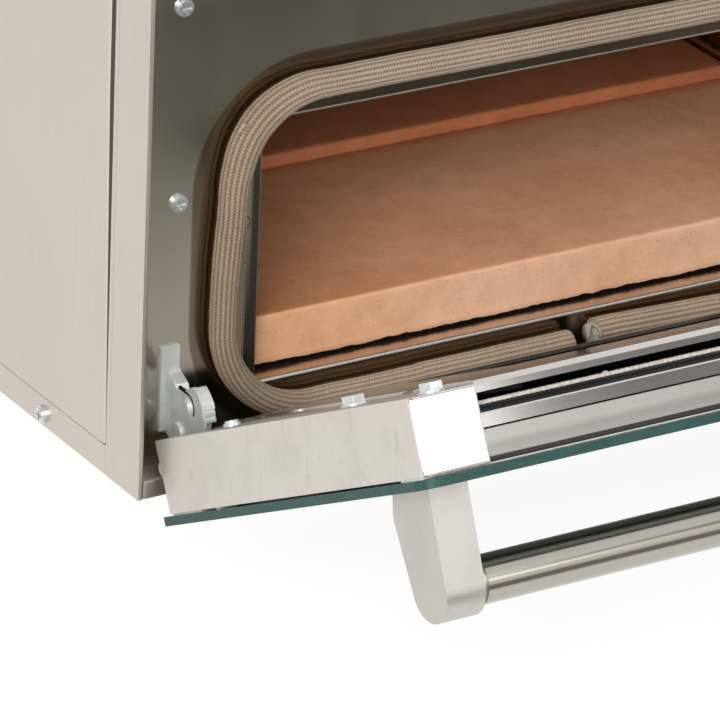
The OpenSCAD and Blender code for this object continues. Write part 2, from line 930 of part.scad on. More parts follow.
module switch_rocker() {
    color([0.6, 0.1, 0.08])
        place_body()
            translate([ctl_x, rocker_y, switch_z]) rotate([-rocker_tilt, 0, 0])
                union() {
                    slab(-rocker_w, rocker_w, -rocker_out, rocker_in, -rocker_h, rocker_h);
                    rod_x(-rocker_pin_l, rocker_pin_l, 0, 0, rocker_pin);
                }
}

module pilot_lamps() {
    color([0.8, 0.35, 0.1])
        place_body()
            for (x = [-lamp_x, lamp_x])
                union() {
                    rod_y(ctl_x + x, -lamp_out, 0, lamp_z, lamp_lens);
                    rod_y(ctl_x + x, -1, lamp_in, lamp_z, lamp_r);
                }
}

module terminal_block() {
    x0 = mid_x + block_in;
    y0 = body_d - block_back;
    color([0.8, 0.78, 0.7])
        place_body()
            difference() {
                slab(x0, x0 + block_w, y0, y0 + block_d, sheet, block_top);
                for (i = [0:3])
                    translate([x0 + (i + 0.5) * block_pitch - 2, y0 - 1, block_slot_z])
                        cube([block_slot, block_slot_d + 1, block_top]);
            }
}

module cable_gland() {
    color([0.08, 0.08, 0.08])
        place_body()
            difference() {
                union() {
                    rod_y(gland_x, body_d - gland_in, body_d + gland_out, gland_z, gland_thread);
                    rod_y(gland_x, body_d, body_d + gland_flange_l, gland_z, gland_flange);
                    rod_y(gland_x, body_d + 1, body_d + gland_out - gland_set, gland_z, gland_dome);
                    rod_y(gland_x, body_d - sheet - gland_nut_l, body_d - sheet, gland_z, gland_nut);
                }
                rod_y(gland_x, body_d - gland_in - 1, body_d + gland_out + 1, gland_z, gland_r);
            }
}

module feet() {
    color([0.1, 0.1, 0.1])
        place_body()
            for (x = [foot_in_x, body_w - foot_in_x])
                for (y = [foot_in_y, body_d - foot_in_y])
                    translate([x, y, -foot_h])
                        union() {
                            cylinder(h = foot_bevel, r1 = foot_r - foot_taper, r2 = foot_r);
                            translate([0, 0, foot_bevel]) cylinder(h = foot_h - foot_bevel, r = foot_r);
                            cylinder(h = foot_h + sheet, r = stud_r);
                        }
}

// Screws with a cross recess, head towards minus y
module cross_screw(x, y, z) {
    difference() {
        union() {
            rod_y(x, y - head_low, y, z, head_rim);
            rod_y(x, y - head_high, y, z, head_crown);
        }
        slab(x - cross_w, x + cross_w, y - head_high - 1, y - cross_floor, z - cross_l, z + cross_l);
        slab(x - cross_l, x + cross_l, y - head_high - 1, y - cross_floor, z - cross_w, z + cross_w);
    }
}

module plate_screws() {
    color([0.75, 0.77, 0.8])
        place_body()
            both_sides()
                for (z = plate_screw_z)
                    cross_screw(plate_screw_x, recess, z);
}

module side_screws() {
    color([0.75, 0.77, 0.8])
        place_body()
            for (y = [flange_screw_y, 0.55 * body_d, body_d - flange_screw_end]) {
                translate([0, y, flange_screw_z]) rotate([0, 0, -90]) cross_screw(0, 0, 0);
                translate([body_w, y, flange_screw_z]) rotate([0, 0, 90]) cross_screw(0, 0, 0);
            }
}

// Hinges on the casing
module arm_outline() {
    polygon([[recess, 15], [recess, 46], [22.6, 43.6], [16.8, 40.9], [15.2, 38.4], [12, 38.2], [6.8, 42],
        [3.3, 44.8], [1.7, 45.4], [-1, 43.9], [-3.8, 41.5], [-5.1, 40.1], [-5.8, 38.2], [-5.2, 37.6],
        [-6.1, 36.8], [-6.4, 35.4], [-5.8, 35], [-7.1, 34.2], [-7.3, 32.8], [-3.6, 32.4], [-3.2, 26],
        [hinge_y - knuckle_r, hinge_z + 1], [hinge_y, hinge_z],
        [hinge_y + knuckle_r * 0.3, hinge_z - knuckle_r * 0.95], [9, 9.6], [18, 12]]);
}

module hinge_arms() {
    x0 = door_x0 + arm_in;
    color([0.72, 0.75, 0.76])
        place_body()
            both_sides()
                difference() {
                    union() {
                        along_x(x0, x0 + arm_t) arm_outline();
                        rod_x(x0, x0 + arm_t, hinge_y, hinge_z, knuckle_r);
                        slab(x0 - tab_in, x0 + tab_w - tab_in, recess - tab_t, recess, tab_z0, tab_z1);
                    }
                    rod_x(x0 - 1, x0 + arm_t + 1, hinge_y, hinge_z, pin_r + run);
                }
}

// Slot of the lever's width, an arc round its rivet
module arc_slot(x, r, a0, a1) {
    translate([x, rivet_y, rivet_z]) rotate([90, 0, 90]) rotate([0, 0, a0])
        rotate_extrude(angle = a1 - a0) translate([r, -3]) square([slot_w, 6]);
}

module lever_outline() {
    y1 = recess - tab_t - 0.3;
    polygon([[y1, 44.2], [17, 41.1], [15.8, 39.8], [12.5, 39.4], [6.5, 42.7], [3.3, 45.2], [1.7, 45.9],
        [-1.2, 44.4], [-4.1, 41.9], [-5.4, 40.5], [-7.4, 34.2], [-8, 30.6],
        [-6, 25], [4, 19], [10, 15], [17, 14], [y1, 16]]);
}

module lock_levers() {
    x1 = door_x0 + arm_in;
    x0 = x1 - lever_t;
    color([0.8, 0.82, 0.82])
        place_body()
            both_sides()
                union() {
                    difference() {
                        along_x(x0, x1) lever_outline();
                        arc_slot(x0, slot_r, slot_a0, slot_a1);
                        slab(x0 - 1, x1 + 1, rivet_y - 1, slot_end,
                            rivet_z + slot_r, rivet_z + slot_r + slot_w);
                    }
                    rod_x(x0 - rivet_h, x1, rivet_y, rivet_z, rivet_r);
                    rod_x(x0 - rivet_h / 2, x1, rivet_y, rivet_z, rivet_r + rivet_rim);
                    rod_x(x0 - rivet_h, x1, pivot_y, pivot_z, pivot_r);
                }
}

// Door side members
module stile() {
    x0 = door_x0;
    x1 = door_x0 + stile_w;
    difference() {
        union() {
            door_slab(x0, x0 + sheet, 0, door_t, 0, door_len);
            door_slab(x0, x1, 0, sheet, 0, door_len);
            door_slab(x0, x1, door_t - sheet, door_t, 0, door_len);
            door_slab(x1 - sheet, x1, 0, door_t, 0, door_len);
            door_slab(x0, x1, 0, door_t, door_len - sheet, door_len);
        }
        door_slab(x0 + slot_in0, x0 + slot_in1, -1, sheet + 0.5, -1, slot_d);
        for (d = [-handle_pitch, handle_pitch])
            door_rod(x0 + bracket_in + bracket_t / 2, door_t - 3, door_t + 1, tube_d + d, handle_hole);
        for (n = [-1, door_t - notch_n])
            door_slab(x0 + sheet - notch_in, x0 + sheet - notch_in + notch_w, n, n + notch_n + 1,
                door_len - notch_d, door_len + 1);
    }
}

module door_stile_left() {
    color([0.74, 0.71, 0.67])
        place_door() stile();
}

module door_stile_right() {
    color([0.74, 0.71, 0.67])
        place_door() translate([2 * xm, 0, 0]) mirror([1, 0, 0]) stile();
}

// Door sheets between the side members
module window_cut(n0, n1, grow) {
    door_slab(xm - window_w / 2 - grow, xm + window_w / 2 + grow, n0, n1, win_d0 - grow, win_d1 + grow);
}

module door_pan() {
    x0 = door_x0 + stile_w;
    x1 = door_x1 - stile_w;
    color([0.7, 0.68, 0.64])
        place_door()
            difference() {
                union() {
                    door_slab(x0, x1, 0, sheet, 0, sheet_end - plate_bend);
                    door_slab(x0, x1, 0, door_t - sheet, 0, sheet);
                }
                window_cut(-1, 3, 0);
            }
}

module door_plate() {
    x0 = door_x0 + stile_w + plate_gap;
    x1 = door_x1 - stile_w - plate_gap;
    color([0.82, 0.81, 0.78])
        place_door()
            difference() {
                along_door(x0, x1,
                    bent_sheet(-plate_t, plate_t, plate_bend, plate_d0, sheet_end, plate_fold));
                window_cut(-plate_t - 1, 1, -reveal);
            }
}

module inner_glass() {
    color([0.5, 0.6, 0.58, 0.4])
        place_door()
            window_cut(sheet, sheet + inner_t, inner_grow);
}

// Rails that clamp the inner glass and close the door's inside off from the window
module glass_clips() {
    n0 = sheet + inner_t;
    x0 = xm - window_w / 2;
    x1 = xm + window_w / 2;
    wall = inner_grow + hole_gap;
    color([0.7, 0.68, 0.64])
        place_door()
            for (s = [-1, 1]) {
                d = s < 0 ? win_d0 : win_d1;
                union() {
                    door_slab(x0, x1, sheet, liner_n - fibre_t, min(d + s * wall, d + s * rail_w),
                        max(d + s * wall, d + s * rail_w));
                    door_slab(x0, x1, n0, n0 + sheet, min(d + s, d + s * rail_w), max(d + s, d + s * rail_w));
                }
            }
}

module door_liner() {
    color([0.8, 0.79, 0.76])
        place_door()
            difference() {
                along_door(door_x0 + stile_w, door_x1 - stile_w,
                    bent_sheet(liner_n, liner_t, liner_bend, sheet, sheet_end, liner_fold));
                window_cut(liner_n - 3, liner_n + 4, 0);
            }
}

module door_fibre() {
    x0 = door_x0 + stile_w + plate_gap;
    x1 = door_x1 - stile_w - plate_gap;
    color([0.85, 0.82, 0.74])
        place_door()
            difference() {
                door_slab(x0, x1, liner_n - fibre_t, liner_n, plate_d0, sheet_end - fibre_in);
                window_cut(liner_n - 3, liner_n + 4, 0);
            }
}

function rail_outline() = concat(
    [[liner_fold + rail_seam, sheet_end]],
    arc(door_t - rail_bend, sheet_end - rail_bend, rail_bend, 90, 0),
    [[door_t, sheet_end - rail_flange], [door_t - sheet, sheet_end - rail_flange]],
    arc(door_t - rail_bend, sheet_end - rail_bend, rail_bend - sheet, 0, 90),
    [[liner_fold + rail_seam, sheet_end - sheet]]);

module door_rail() {
    x0 = door_x0 + stile_w;
    x1 = door_x1 - stile_w;
    color([0.78, 0.76, 0.72])
        place_door()
            along_door(x0, x1, rail_outline());
}

module door_glass() {
    x0 = door_x0 - glass_side;
    x1 = door_x1 + glass_side;
    d0 = -glass_low;
    d1 = door_len + glass_high;
    r = glass_corner;
    h = glass_heel;
    color([0.3, 0.42, 0.38, 0.5])
        place_door()
            difference() {
                union() {
                    door_slab(x0, x1, glass_n0, glass_n1, d0 + h, d1 - r);
                    door_slab(x0 + h, x1 - h, glass_n0, glass_n1, d0, d0 + h);
                    door_slab(x0 + r, x1 - r, glass_n0, glass_n1, d1 - r, d1);
                    for (x = [x0 + h, x1 - h])
                        door_rod(x, glass_n0, glass_n1, d0 + h, h);
                    for (x = [x0 + r, x1 - r])
                        door_rod(x, glass_n0, glass_n1, d1 - r, r);
                }
                both_sides()
                    for (d = [-handle_pitch, handle_pitch])
                        door_rod(door_x0 + bracket_in + bracket_t / 2, glass_n0 - 1, glass_n1 + 1, tube_d + d,
                            handle_hole);
            }
}

module glass_spacers() {
    x = door_x0 + bracket_in + bracket_t / 2;
    color([0.8, 0.8, 0.76])
        place_door()
            both_sides() {
                translate([door_x0 + pad_in, 0, 0]) {
                    door_slab(0, pad_w, door_t, glass_n0, pad_in, pad_in + pad_w);
                    door_slab(0, strip_w, door_t, glass_n0, strip_d, strip_d + strip_l);
                }
                difference() {
                    door_slab(x - seat_w, x + seat_w, door_t, glass_n0, tube_d - seat_h, tube_d + seat_h);
                    for (d = [-handle_pitch, handle_pitch])
                        door_rod(x, door_t - 1, glass_n0 + 1, tube_d + d, handle_hole);
                }
            }
}

// Handle
module bracket_outline() {
    y0 = door_y - glass_n1;
    yc = door_y - tube_n;
    zc = door_z + tube_d;
    polygon([[y0, zc - bracket_low], [y0 - heel_n0, zc - bracket_heel], [y0 - heel_n1, zc - bracket_heel],
        [yc, zc - bracket_r], [yc, zc + bracket_r], [y0, zc + bracket_heel]]);
}

module handle_brackets() {
    x0 = door_x0 + bracket_in;
    color([0.74, 0.71, 0.67])
        place_door()
            both_sides()
                difference() {
                    union() {
                        along_x(x0, x0 + bracket_t) bracket_outline();
                        rod_x(x0, x0 + bracket_t, door_y - tube_n, door_z + tube_d, bracket_r);
                        rod_x(x0 + 1, x0 + bracket_t + collar_l, door_y - tube_n, door_z + tube_d,
                            tube_r - collar_in);
                        rod_x(x0 + 1, x0 + bracket_t + collar_l + spigot_l, door_y - tube_n, door_z + tube_d,
                            tube_r - tube_wall - hole_gap);
                    }
                    for (d = [-handle_pitch, handle_pitch])
                        door_rod(x0 + bracket_t / 2, glass_n1 - 1, glass_n1 + handle_screw_l + 1, tube_d + d,
                            handle_screw_r + run);
                }
}

module handle_tube() {
    x0 = door_x0 + bracket_in + bracket_t;
    x1 = 2 * xm - x0;
    color([0.76, 0.74, 0.7])
        place_door()
            difference() {
                rod_x(x0 + collar_l, x1 - collar_l, door_y - tube_n, door_z + tube_d, tube_r);
                rod_x(x0, x1, door_y - tube_n, door_z + tube_d, tube_r - tube_wall);
            }
}

module handle_screws() {
    x = door_x0 + bracket_in + bracket_t / 2;
    color([0.75, 0.77, 0.8])
        place_door()
            both_sides()
                for (d = [-handle_pitch, handle_pitch])
                    union() {
                        door_rod(x, door_t - sheet - handle_head_l, door_t - sheet, tube_d + d, handle_head_r);
                        door_rod(x, door_t - sheet - 1, glass_n1 + handle_screw_l, tube_d + d, handle_screw_r);
                    }
}

// Hinges in the door
module hinge_channel() {
    x0 = door_x0 + slot_in0;
    x1 = door_x0 + slot_in1;
    difference() {
        union() {
            for (x = [x0, x1 - chan_t]) {
                door_slab(x, x + chan_t, sheet + chan_in, door_t - sheet, chan_d0, chan_l);
                rod_x(x, x + chan_t, hinge_y, hinge_z, knuckle_r - chan_ear);
                door_slab(x, x + chan_t, hinge_n - chan_neck, hinge_n + chan_neck, -hinge_d, 1);
            }
            door_slab(x0, x1, hinge_n + chan_floor, hinge_n + chan_floor + chan_t, chan_floor_d, chan_l);
        }
        rod_x(x0 - 1, x1 + 1, hinge_y, hinge_z, pin_r + run);
    }
}

module hinge_channels() {
    color([0.7, 0.73, 0.74])
        place_door() both_sides() hinge_channel();
}

module hinge_pins() {
    color([0.8, 0.82, 0.84])
        place_door()
            both_sides()
                union() {
                    rod_x(door_x0 + pin_in, door_x0 + stile_w - pin_end, hinge_y, hinge_z, pin_r);
                    rod_x(door_x0 + pin_head_in, door_x0 + slot_in0, hinge_y, hinge_z, pin_r + pin_head);
                }
}

// Bolts on the inner side of the door
module door_bolts() {
    x = door_x0 + bolt_in;
    color([0.75, 0.77, 0.8])
        place_door()
            both_sides() {
                for (d = [door_len - bolt_top, door_len - bolt_low])
                    union() {
                        translate([x, door_y + bolt_h, door_z + d]) rotate([90, 0, 0])
                            cylinder(h = bolt_h - washer_t, r = bolt_r, $fn = 6);
                        door_rod(x, -washer_t, 0, d, washer_r);
                    }
                cross_bolt(x - 0.4, slot_d + bolt_over);
            }
}

module cross_bolt(x, d) {
    translate([x, door_y, door_z + d]) rotate([0, 0, 180]) cross_screw(0, 0, 0);
}

base_pan();
side_left();
side_right();
top_cover();
back_panel();
frame_left();
frame_sill();
frame_header();
frame_mid();
control_panel();
mouth_plate();
gasket();
chamber_floor();
mouth_ledge();
chamber_left();
chamber_right();
chamber_back();
chamber_ceiling();
stone_front();
stone_rear();
stone_posts();
element_top();
element_bottom();
element_clips();
sensor_bulbs();
blanket_sides();
blanket_back();
blanket_top();
blanket_bottom();
bay_wall();
thermostats();
knob_top();
knob_bottom();
switch_body();
switch_rocker();
pilot_lamps();
terminal_block();
cable_gland();
feet();
plate_screws();
side_screws();
hinge_arms();
lock_levers();
door_stile_left();
door_stile_right();
door_pan();
door_plate();
inner_glass();
glass_clips();
door_liner();
door_fibre();
door_rail();
door_glass();
glass_spacers();
handle_brackets();
handle_tube();
handle_screws();
hinge_channels();
hinge_pins();
door_bolts();
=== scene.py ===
# Looks of a countertop electric pizza oven with a drop-down glazed door

import json
import math

import bmesh
import bpy
from mathutils import Matrix, Vector, noise


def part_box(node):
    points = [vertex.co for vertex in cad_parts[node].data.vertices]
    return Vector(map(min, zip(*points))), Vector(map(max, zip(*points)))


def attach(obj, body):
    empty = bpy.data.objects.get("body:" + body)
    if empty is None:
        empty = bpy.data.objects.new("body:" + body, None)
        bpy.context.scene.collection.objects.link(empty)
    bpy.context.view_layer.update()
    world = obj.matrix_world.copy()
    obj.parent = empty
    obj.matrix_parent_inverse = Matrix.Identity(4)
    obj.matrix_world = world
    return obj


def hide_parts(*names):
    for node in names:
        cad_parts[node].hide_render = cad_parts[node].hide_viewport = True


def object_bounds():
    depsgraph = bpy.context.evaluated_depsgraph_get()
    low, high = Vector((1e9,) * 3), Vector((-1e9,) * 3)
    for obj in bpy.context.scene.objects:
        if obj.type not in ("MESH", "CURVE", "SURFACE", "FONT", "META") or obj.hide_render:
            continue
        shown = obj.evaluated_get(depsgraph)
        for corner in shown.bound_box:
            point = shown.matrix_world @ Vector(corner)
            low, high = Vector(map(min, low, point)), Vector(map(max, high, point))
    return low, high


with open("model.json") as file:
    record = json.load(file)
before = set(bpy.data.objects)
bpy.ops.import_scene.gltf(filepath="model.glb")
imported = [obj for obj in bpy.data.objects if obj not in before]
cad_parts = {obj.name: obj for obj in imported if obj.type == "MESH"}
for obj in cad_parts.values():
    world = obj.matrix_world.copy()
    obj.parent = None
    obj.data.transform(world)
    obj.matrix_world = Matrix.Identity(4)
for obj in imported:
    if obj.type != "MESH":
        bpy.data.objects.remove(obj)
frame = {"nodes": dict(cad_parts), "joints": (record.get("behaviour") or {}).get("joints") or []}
cad_low, cad_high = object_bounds()
nodes = frame["nodes"]

# Places, from the frame: the casing's lower left front corner and the hinge axis
MM = 0.001
CORNER = Vector((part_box("side_left")[0].x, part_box("frame_left")[0].y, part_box("base_pan")[0].z))
HINGE = next(joint for joint in frame["joints"] if joint["name"] == "door_hinge")
HINGE_POINT = Vector(HINGE["pos_m"])
OPEN_ANGLE = math.radians(HINGE["range_deg"][1])
# Depth of the hinge axis in the door and its distance under the door's hinge end, in millimetres
HINGE_DEPTH = 12.2
HINGE_UNDER = 1.5
# Directions of the open door: up from its hinge end, and out through its glass
DOOR_UP = Vector((0, -math.sin(OPEN_ANGLE), math.cos(OPEN_ANGLE)))
DOOR_OUT = Vector((0, -math.cos(OPEN_ANGLE), -math.sin(OPEN_ANGLE)))
# Window of the door in millimetres: sides, and edges up from the hinge end
WINDOW_X = (109.6, 367.6)
WINDOW_D = (24.95, 124.95)
# Mouth of the casing in millimetres: sides and heights
MOUTH_X = (63.6, 413.6)
MOUTH_Z = (28.8, 149.9)

# Camera: the view's angles in degrees, and the casing's lower left front corner in the picture
VIEW_AZIMUTH = 32.55
VIEW_ELEVATION = 24.62
VIEW_ROLL = 2.49
FRAME_PIXELS = 720
FOCAL_PIXELS = 6025
CORNER_PIXEL = (138, 501)
CORNER_DISTANCE = 2.5104
SENSOR = 36


def on_casing(x, y, z):
    """A point of the casing: right of its left face, behind its front edge, over its underside, in mm."""
    return CORNER + Vector((x, y, z)) * MM


def on_door(x, n, d):
    """A point of the open door, in mm: right of the casing's left face, out from the door's inner face,
    up from its hinge end."""
    side = Vector((CORNER.x + x * MM, HINGE_POINT.y, HINGE_POINT.z))
    return side + DOOR_OUT * ((n - HINGE_DEPTH) * MM) + DOOR_UP * ((d + HINGE_UNDER) * MM)


def casing_box(name):
    """Lowest and highest corner of a node in millimetres from the casing's corner."""
    low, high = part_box(name)
    return (low - CORNER) / MM, (high - CORNER) / MM


# Threads: a direction that none of them runs in, and the size of their ends
ASIDE = Vector((0.31, 0.17, 0.93))
THREAD_END = 0.45
# Edges that are bent more than this are sharp
SHARP = math.radians(40)


# Mesh helpers
def put(name, data):
    """A new object in the scene."""
    obj = bpy.data.objects.new(name, data)
    bpy.context.scene.collection.objects.link(obj)
    return obj


def piece(name, shape, material, body, smooth=True):
    """A new mesh, from points and faces, that rides on a body and has one material."""
    points, faces = shape
    mesh = bpy.data.meshes.new(name)
    mesh.from_pydata([tuple(p) for p in points], [], faces)
    work = bmesh.new()
    work.from_mesh(mesh)
    bmesh.ops.recalc_face_normals(work, faces=work.faces)
    work.to_mesh(mesh)
    work.free()
    mesh.polygons.foreach_set("use_smooth", [smooth] * len(mesh.polygons))
    obj = put(name, mesh)
    mesh.materials.append(material)
    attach(obj, body)
    return obj


def loft(rings, capped=True):
    """Points and faces of a skin over rings that all have the same number of points."""
    count = len(rings[0])
    points = [p for ring in rings for p in ring]
    faces = []
    for i in range(len(rings) - 1):
        a = i * count
        b = a + count
        for j in range(count):
            k = (j + 1) % count
            faces.append((a + j, a + k, b + k, b + j))
    if capped:
        faces.append(tuple(range(count - 1, -1, -1)))
        faces.append(tuple((len(rings) - 1) * count + j for j in range(count)))
    return points, faces


def join(parts):
    """One set of points and faces from several."""
    points = []
    faces = []
    for part_points, part_faces in parts:
        start = len(points)
        points.extend(part_points)
        faces.extend(tuple(start + i for i in face) for face in part_faces)
    return points, faces


def thread(path, radius, sides=7):
    """A round tube along a path of points, drawn in at its ends."""
    rings = []
    last = len(path) - 1
    for i, point in enumerate(path):
        ahead = (path[min(i + 1, last)] - path[max(i - 1, 0)]).normalized()
        across = ahead.cross(ASIDE).normalized()
        other = ahead.cross(across)
        size = radius * (THREAD_END if i in (0, last) else 1.0)
        turns = [2 * math.pi * j / sides for j in range(sides)]
        rings.append([point + (across * math.cos(t) + other * math.sin(t)) * size for t in turns])
    return loft(rings)


def sweep(start, end, steps):
    """Evenly spaced values from a start to an end."""
    return [start + (end - start) * i / steps for i in range(steps + 1)]


def rectangle(first, second):
    """Corners of a rectangle from the ends of its two sides."""
    return [(first[0], second[0]), (first[1], second[0]), (first[1], second[1]), (first[0], second[1])]


def soften(name, width, segments=2):
    """Rounds the edges of a CAD node a little with modifiers."""
    obj = nodes[name]
    weld = obj.modifiers.new("weld", "WELD")
    weld.merge_threshold = 1e-6
    bevel = obj.modifiers.new("round", "BEVEL")
    bevel.width = width * MM
    bevel.segments = segments
    bevel.limit_method = "ANGLE"
    bevel.angle_limit = SHARP
    bevel.use_clamp_overlap = True
    weighted = obj.modifiers.new("normals", "WEIGHTED_NORMAL")
    weighted.keep_sharp = True


def wander(x, size, seed):
    """Smooth noise along one line, about -1 to 1."""
    return noise.noise(Vector((x / size, seed * 7.3, seed * 1.7)))


def wave(x, shape):
    """Smooth noise along one line, from its height, length and seed."""
    height, length, seed = shape
    return height * wander(x, length, seed)


def ease(value, ends):
    """Smooth step from 0 to 1 between two ends."""
    t = min(max((value - ends[0]) / (ends[1] - ends[0]), 0.0), 1.0)
    return t * t * (3 - 2 * t)


# Material helpers
def shader(name):
    """A new material, its node tree and its surface node."""
    made = bpy.data.materials.new(name)
    made.use_nodes = True
    tree = made.node_tree
    return made, tree, tree.nodes["Principled BSDF"]


def fill(tree, node, inputs):
    """Links the inputs of a node that are given as sockets, and sets those given as values."""
    for key, value in inputs.items():
        if isinstance(value, bpy.types.NodeSocket):
            tree.links.new(value, node.inputs[key])
        else:
            node.inputs[key].default_value = value


def add(tree, kind, inputs, **settings):
    """A new node with its settings and inputs."""
    made = tree.nodes.new(kind)
    for key, value in settings.items():
        setattr(made, key, value)
    fill(tree, made, inputs)
    return made


def calc(tree, operation, first, second=0.0):
    """A sum with one or two values."""
    return add(tree, "ShaderNodeMath", {0: first, 1: second}, operation=operation).outputs[0]


def place_of(tree):
    """Place in the piece's own rest frame, so a pattern stays put when the piece moves."""
    return tree.nodes.new("ShaderNodeTexCoord").outputs["Object"]


def axis_of(tree, axis):
    """One coordinate of that place."""
    return add(tree, "ShaderNodeSeparateXYZ", {"Vector": place_of(tree)}).outputs[axis]


def spots(tree, scale, detail=3.0, rough=0.55, stretch=(1, 1, 1)):
    """Noise in the piece's own frame, drawn out in some directions."""
    drawn = add(tree, "ShaderNodeMapping", {"Vector": place_of(tree), "Scale": stretch})
    values = {"Vector": drawn.outputs[0], "Scale": scale, "Detail": detail, "Roughness": rough}
    return add(tree, "ShaderNodeTexNoise", values).outputs["Fac"]


def ramp(tree, factor, stops):
    """A colour that runs through stops as a factor goes from 0 to 1."""
    made = add(tree, "ShaderNodeValToRGB", {"Fac": factor})
    elements = made.color_ramp.elements
    while len(elements) < len(stops):
        elements.new(0.5)
    for element, (where, colour) in zip(elements, stops):
        element.position = where
        element.color = (*colour, 1)
    return made.outputs["Color"]


def remap(tree, value, ends, low, high):
    """A value between two ends, brought between a low and a high one."""
    values = {"Value": value, "From Min": ends[0], "From Max": ends[1], "To Min": low, "To Max": high}
    return add(tree, "ShaderNodeMapRange", values).outputs[0]


def spread(tree, value, low, high):
    """Brings noise, which lies mostly between 0.25 and 0.75, to a range."""
    return remap(tree, value, (0.25, 0.75), low, high)


def share_of(tree, value, ends):
    """Where a value lies between two ends, from 0 to 1."""
    return remap(tree, value, ends, 0.0, 1.0)


def blend(tree, share, first, second, kind="MIX"):
    """A colour between two others."""
    values = {0: share, 6: first, 7: second}
    return add(tree, "ShaderNodeMix", values, data_type="RGBA", blend_type=kind).outputs[2]


def multiply(tree, first, second, share=1.0):
    """Darkens one colour by another."""
    return blend(tree, share, first, second, "MULTIPLY")


def dents(tree, height, strength, distance):
    """Normals of a surface with a fine relief."""
    values = {"Height": height, "Strength": strength, "Distance": distance}
    return add(tree, "ShaderNodeBump", values).outputs[0]


def shade(colour, factor):
    """A darker or brighter colour."""
    return tuple(c * factor for c in colour)


def vectors(tree, operation, first, second=(0, 0, 0)):
    """A sum with vectors: its outputs are a vector and, for some sums, a value."""
    return add(tree, "ShaderNodeVectorMath", {0: first, 1: second}, operation=operation).outputs


def beyond(tree, value, ends):
    """How far a value lies outside two ends; less than zero between them."""
    aside = calc(tree, "ABSOLUTE", calc(tree, "SUBTRACT", value, (ends[0] + ends[1]) / 2))
    return calc(tree, "SUBTRACT", aside, (ends[1] - ends[0]) / 2)


def casing_xs(places):
    """Frame coordinates of places right of the casing's left face, given in mm."""
    return [on_casing(x, 0, 0).x for x in places]


def casing_zs(heights):
    """Frame coordinates of heights over the casing's underside, given in mm."""
    return [on_casing(0, 0, z).z for z in heights]


# Brushing directions, and the lie of rubbed marks
UPRIGHT = (900, 900, 14)
ALONG_X = (14, 900, 900)
ACROSS_X = (900, 60, 60)
EVEN = (260, 260, 260)
RUBBED = (60, 260, 90)


def metal(name, colour, rough, stretch, streak=0.05, depth=0.02, smudge=0.08, blot=14.0,
          metallic=1.0, marks=0.0):
    """Rolled or polished metal: fine streaks in one direction, faint smudges and a few rubbed marks."""
    made, tree, bsdf = shader(name)
    fine = spots(tree, 1.0, 2.0, 0.6, stretch)
    cloud = spots(tree, blot, 5.0, 0.62)
    stops = [(0.3, shade(colour, 1 - smudge)), (0.5, colour), (0.7, shade(colour, 1 + smudge / 3))]
    tint = ramp(tree, cloud, stops)
    if marks:
        rubbed = spots(tree, 1.0, 2.0, 0.5, RUBBED)
        rubs = ramp(tree, rubbed, [(0.27, shade((1, 1, 1), 1 - marks)), (0.36, (1, 1, 1))])
        tint = multiply(tree, tint, rubs)
    grain = spread(tree, fine, -streak, streak)
    polish = spread(tree, cloud, rough * 1.12, rough * 0.88)
    fill(tree, bsdf, {
        "Base Color": tint,
        "Metallic": metallic,
        "Roughness": calc(tree, "ADD", grain, polish),
        "Normal": dents(tree, fine, 0.35, depth * MM),
    })
    return made


def clouded(tree, colour):
    """A metal's colour with faint smudges."""
    cloud = spots(tree, 14.0, 5.0, 0.62)
    return ramp(tree, cloud, [(0.3, shade(colour, 0.94)), (0.5, colour), (0.7, shade(colour, 1.02))])


def full_metal(tree, bsdf, tint, stretch, rough, depth):
    """Gives a metal surface its tint, and fine streaks between two roughnesses."""
    fine = spots(tree, 1.0, 2.0, 0.6, stretch)
    fill(tree, bsdf, {
        "Base Color": tint,
        "Metallic": 1.0,
        "Roughness": spread(tree, fine, rough[0], rough[1]),
        "Normal": dents(tree, fine, 0.35, depth * MM),
    })


def plain(name, colour, rough, scale=220.0, depth=0.05, vary=0.12):
    """A moulded, rubber or painted surface with fine grain."""
    made, tree, bsdf = shader(name)
    fine = spots(tree, scale, 3.0, 0.6)
    stops = [(0.3, shade(colour, 1 - vary)), (0.7, shade(colour, 1 + vary))]
    fill(tree, bsdf, {
        "Base Color": ramp(tree, fine, stops),
        "Roughness": spread(tree, fine, rough * 0.9, rough * 1.1),
        "Normal": dents(tree, fine, 0.4, depth * MM),
    })
    return made


# Materials
satin = metal("satin_steel", (0.61, 0.56, 0.50), 0.42, UPRIGHT, smudge=0.05, blot=6.0)
sheet = metal("plain_steel", (0.42, 0.40, 0.37), 0.38, ALONG_X)
chamber = metal("chamber_steel", (0.30, 0.215, 0.16), 0.42, UPRIGHT, smudge=0.25)
# Near black steel: painted shade in the door's hollows, its pan and clips, the fibre sheet, the liner and
# the lever slots
hollow_shade = metal("hollow_shade_steel", (0.045, 0.044, 0.041), 0.6, EVEN, smudge=0.2)
lip_steel = metal("lip_steel", (0.62, 0.59, 0.55), 0.28, ALONG_X, 0.02, 0.001, 0.05, 40.0)
ledge_steel = metal("ledge_steel", (0.66, 0.61, 0.56), 0.22, ALONG_X, 0.02, 0.004, 0.06)
mirror = metal("mirror_steel", (0.63, 0.60, 0.57), 0.10, ALONG_X, 0.01, 0.004, 0.04)
bright = metal("bright_end", (0.80, 0.79, 0.77), 0.06, (30, 30, 30), 0.01, 0.004, 0.03)
door_side = metal("door_steel", (0.60, 0.555, 0.50), 0.48, ACROSS_X, 0.04, 0.015, 0.06, 45.0, 0.65, 0.10)
bracket_steel = metal("bracket_steel", (0.58, 0.55, 0.505), 0.45, EVEN, 0.03, 0.01, 0.03, 30.0)
tube_metal = metal("tube_steel", (0.45, 0.42, 0.365), 0.17, ALONG_X, 0.03, 0.01, 0.05)
zinc = metal("zinc", (0.72, 0.75, 0.74), 0.38, EVEN, 0.05, 0.03, 0.14, 160.0, 0.45)
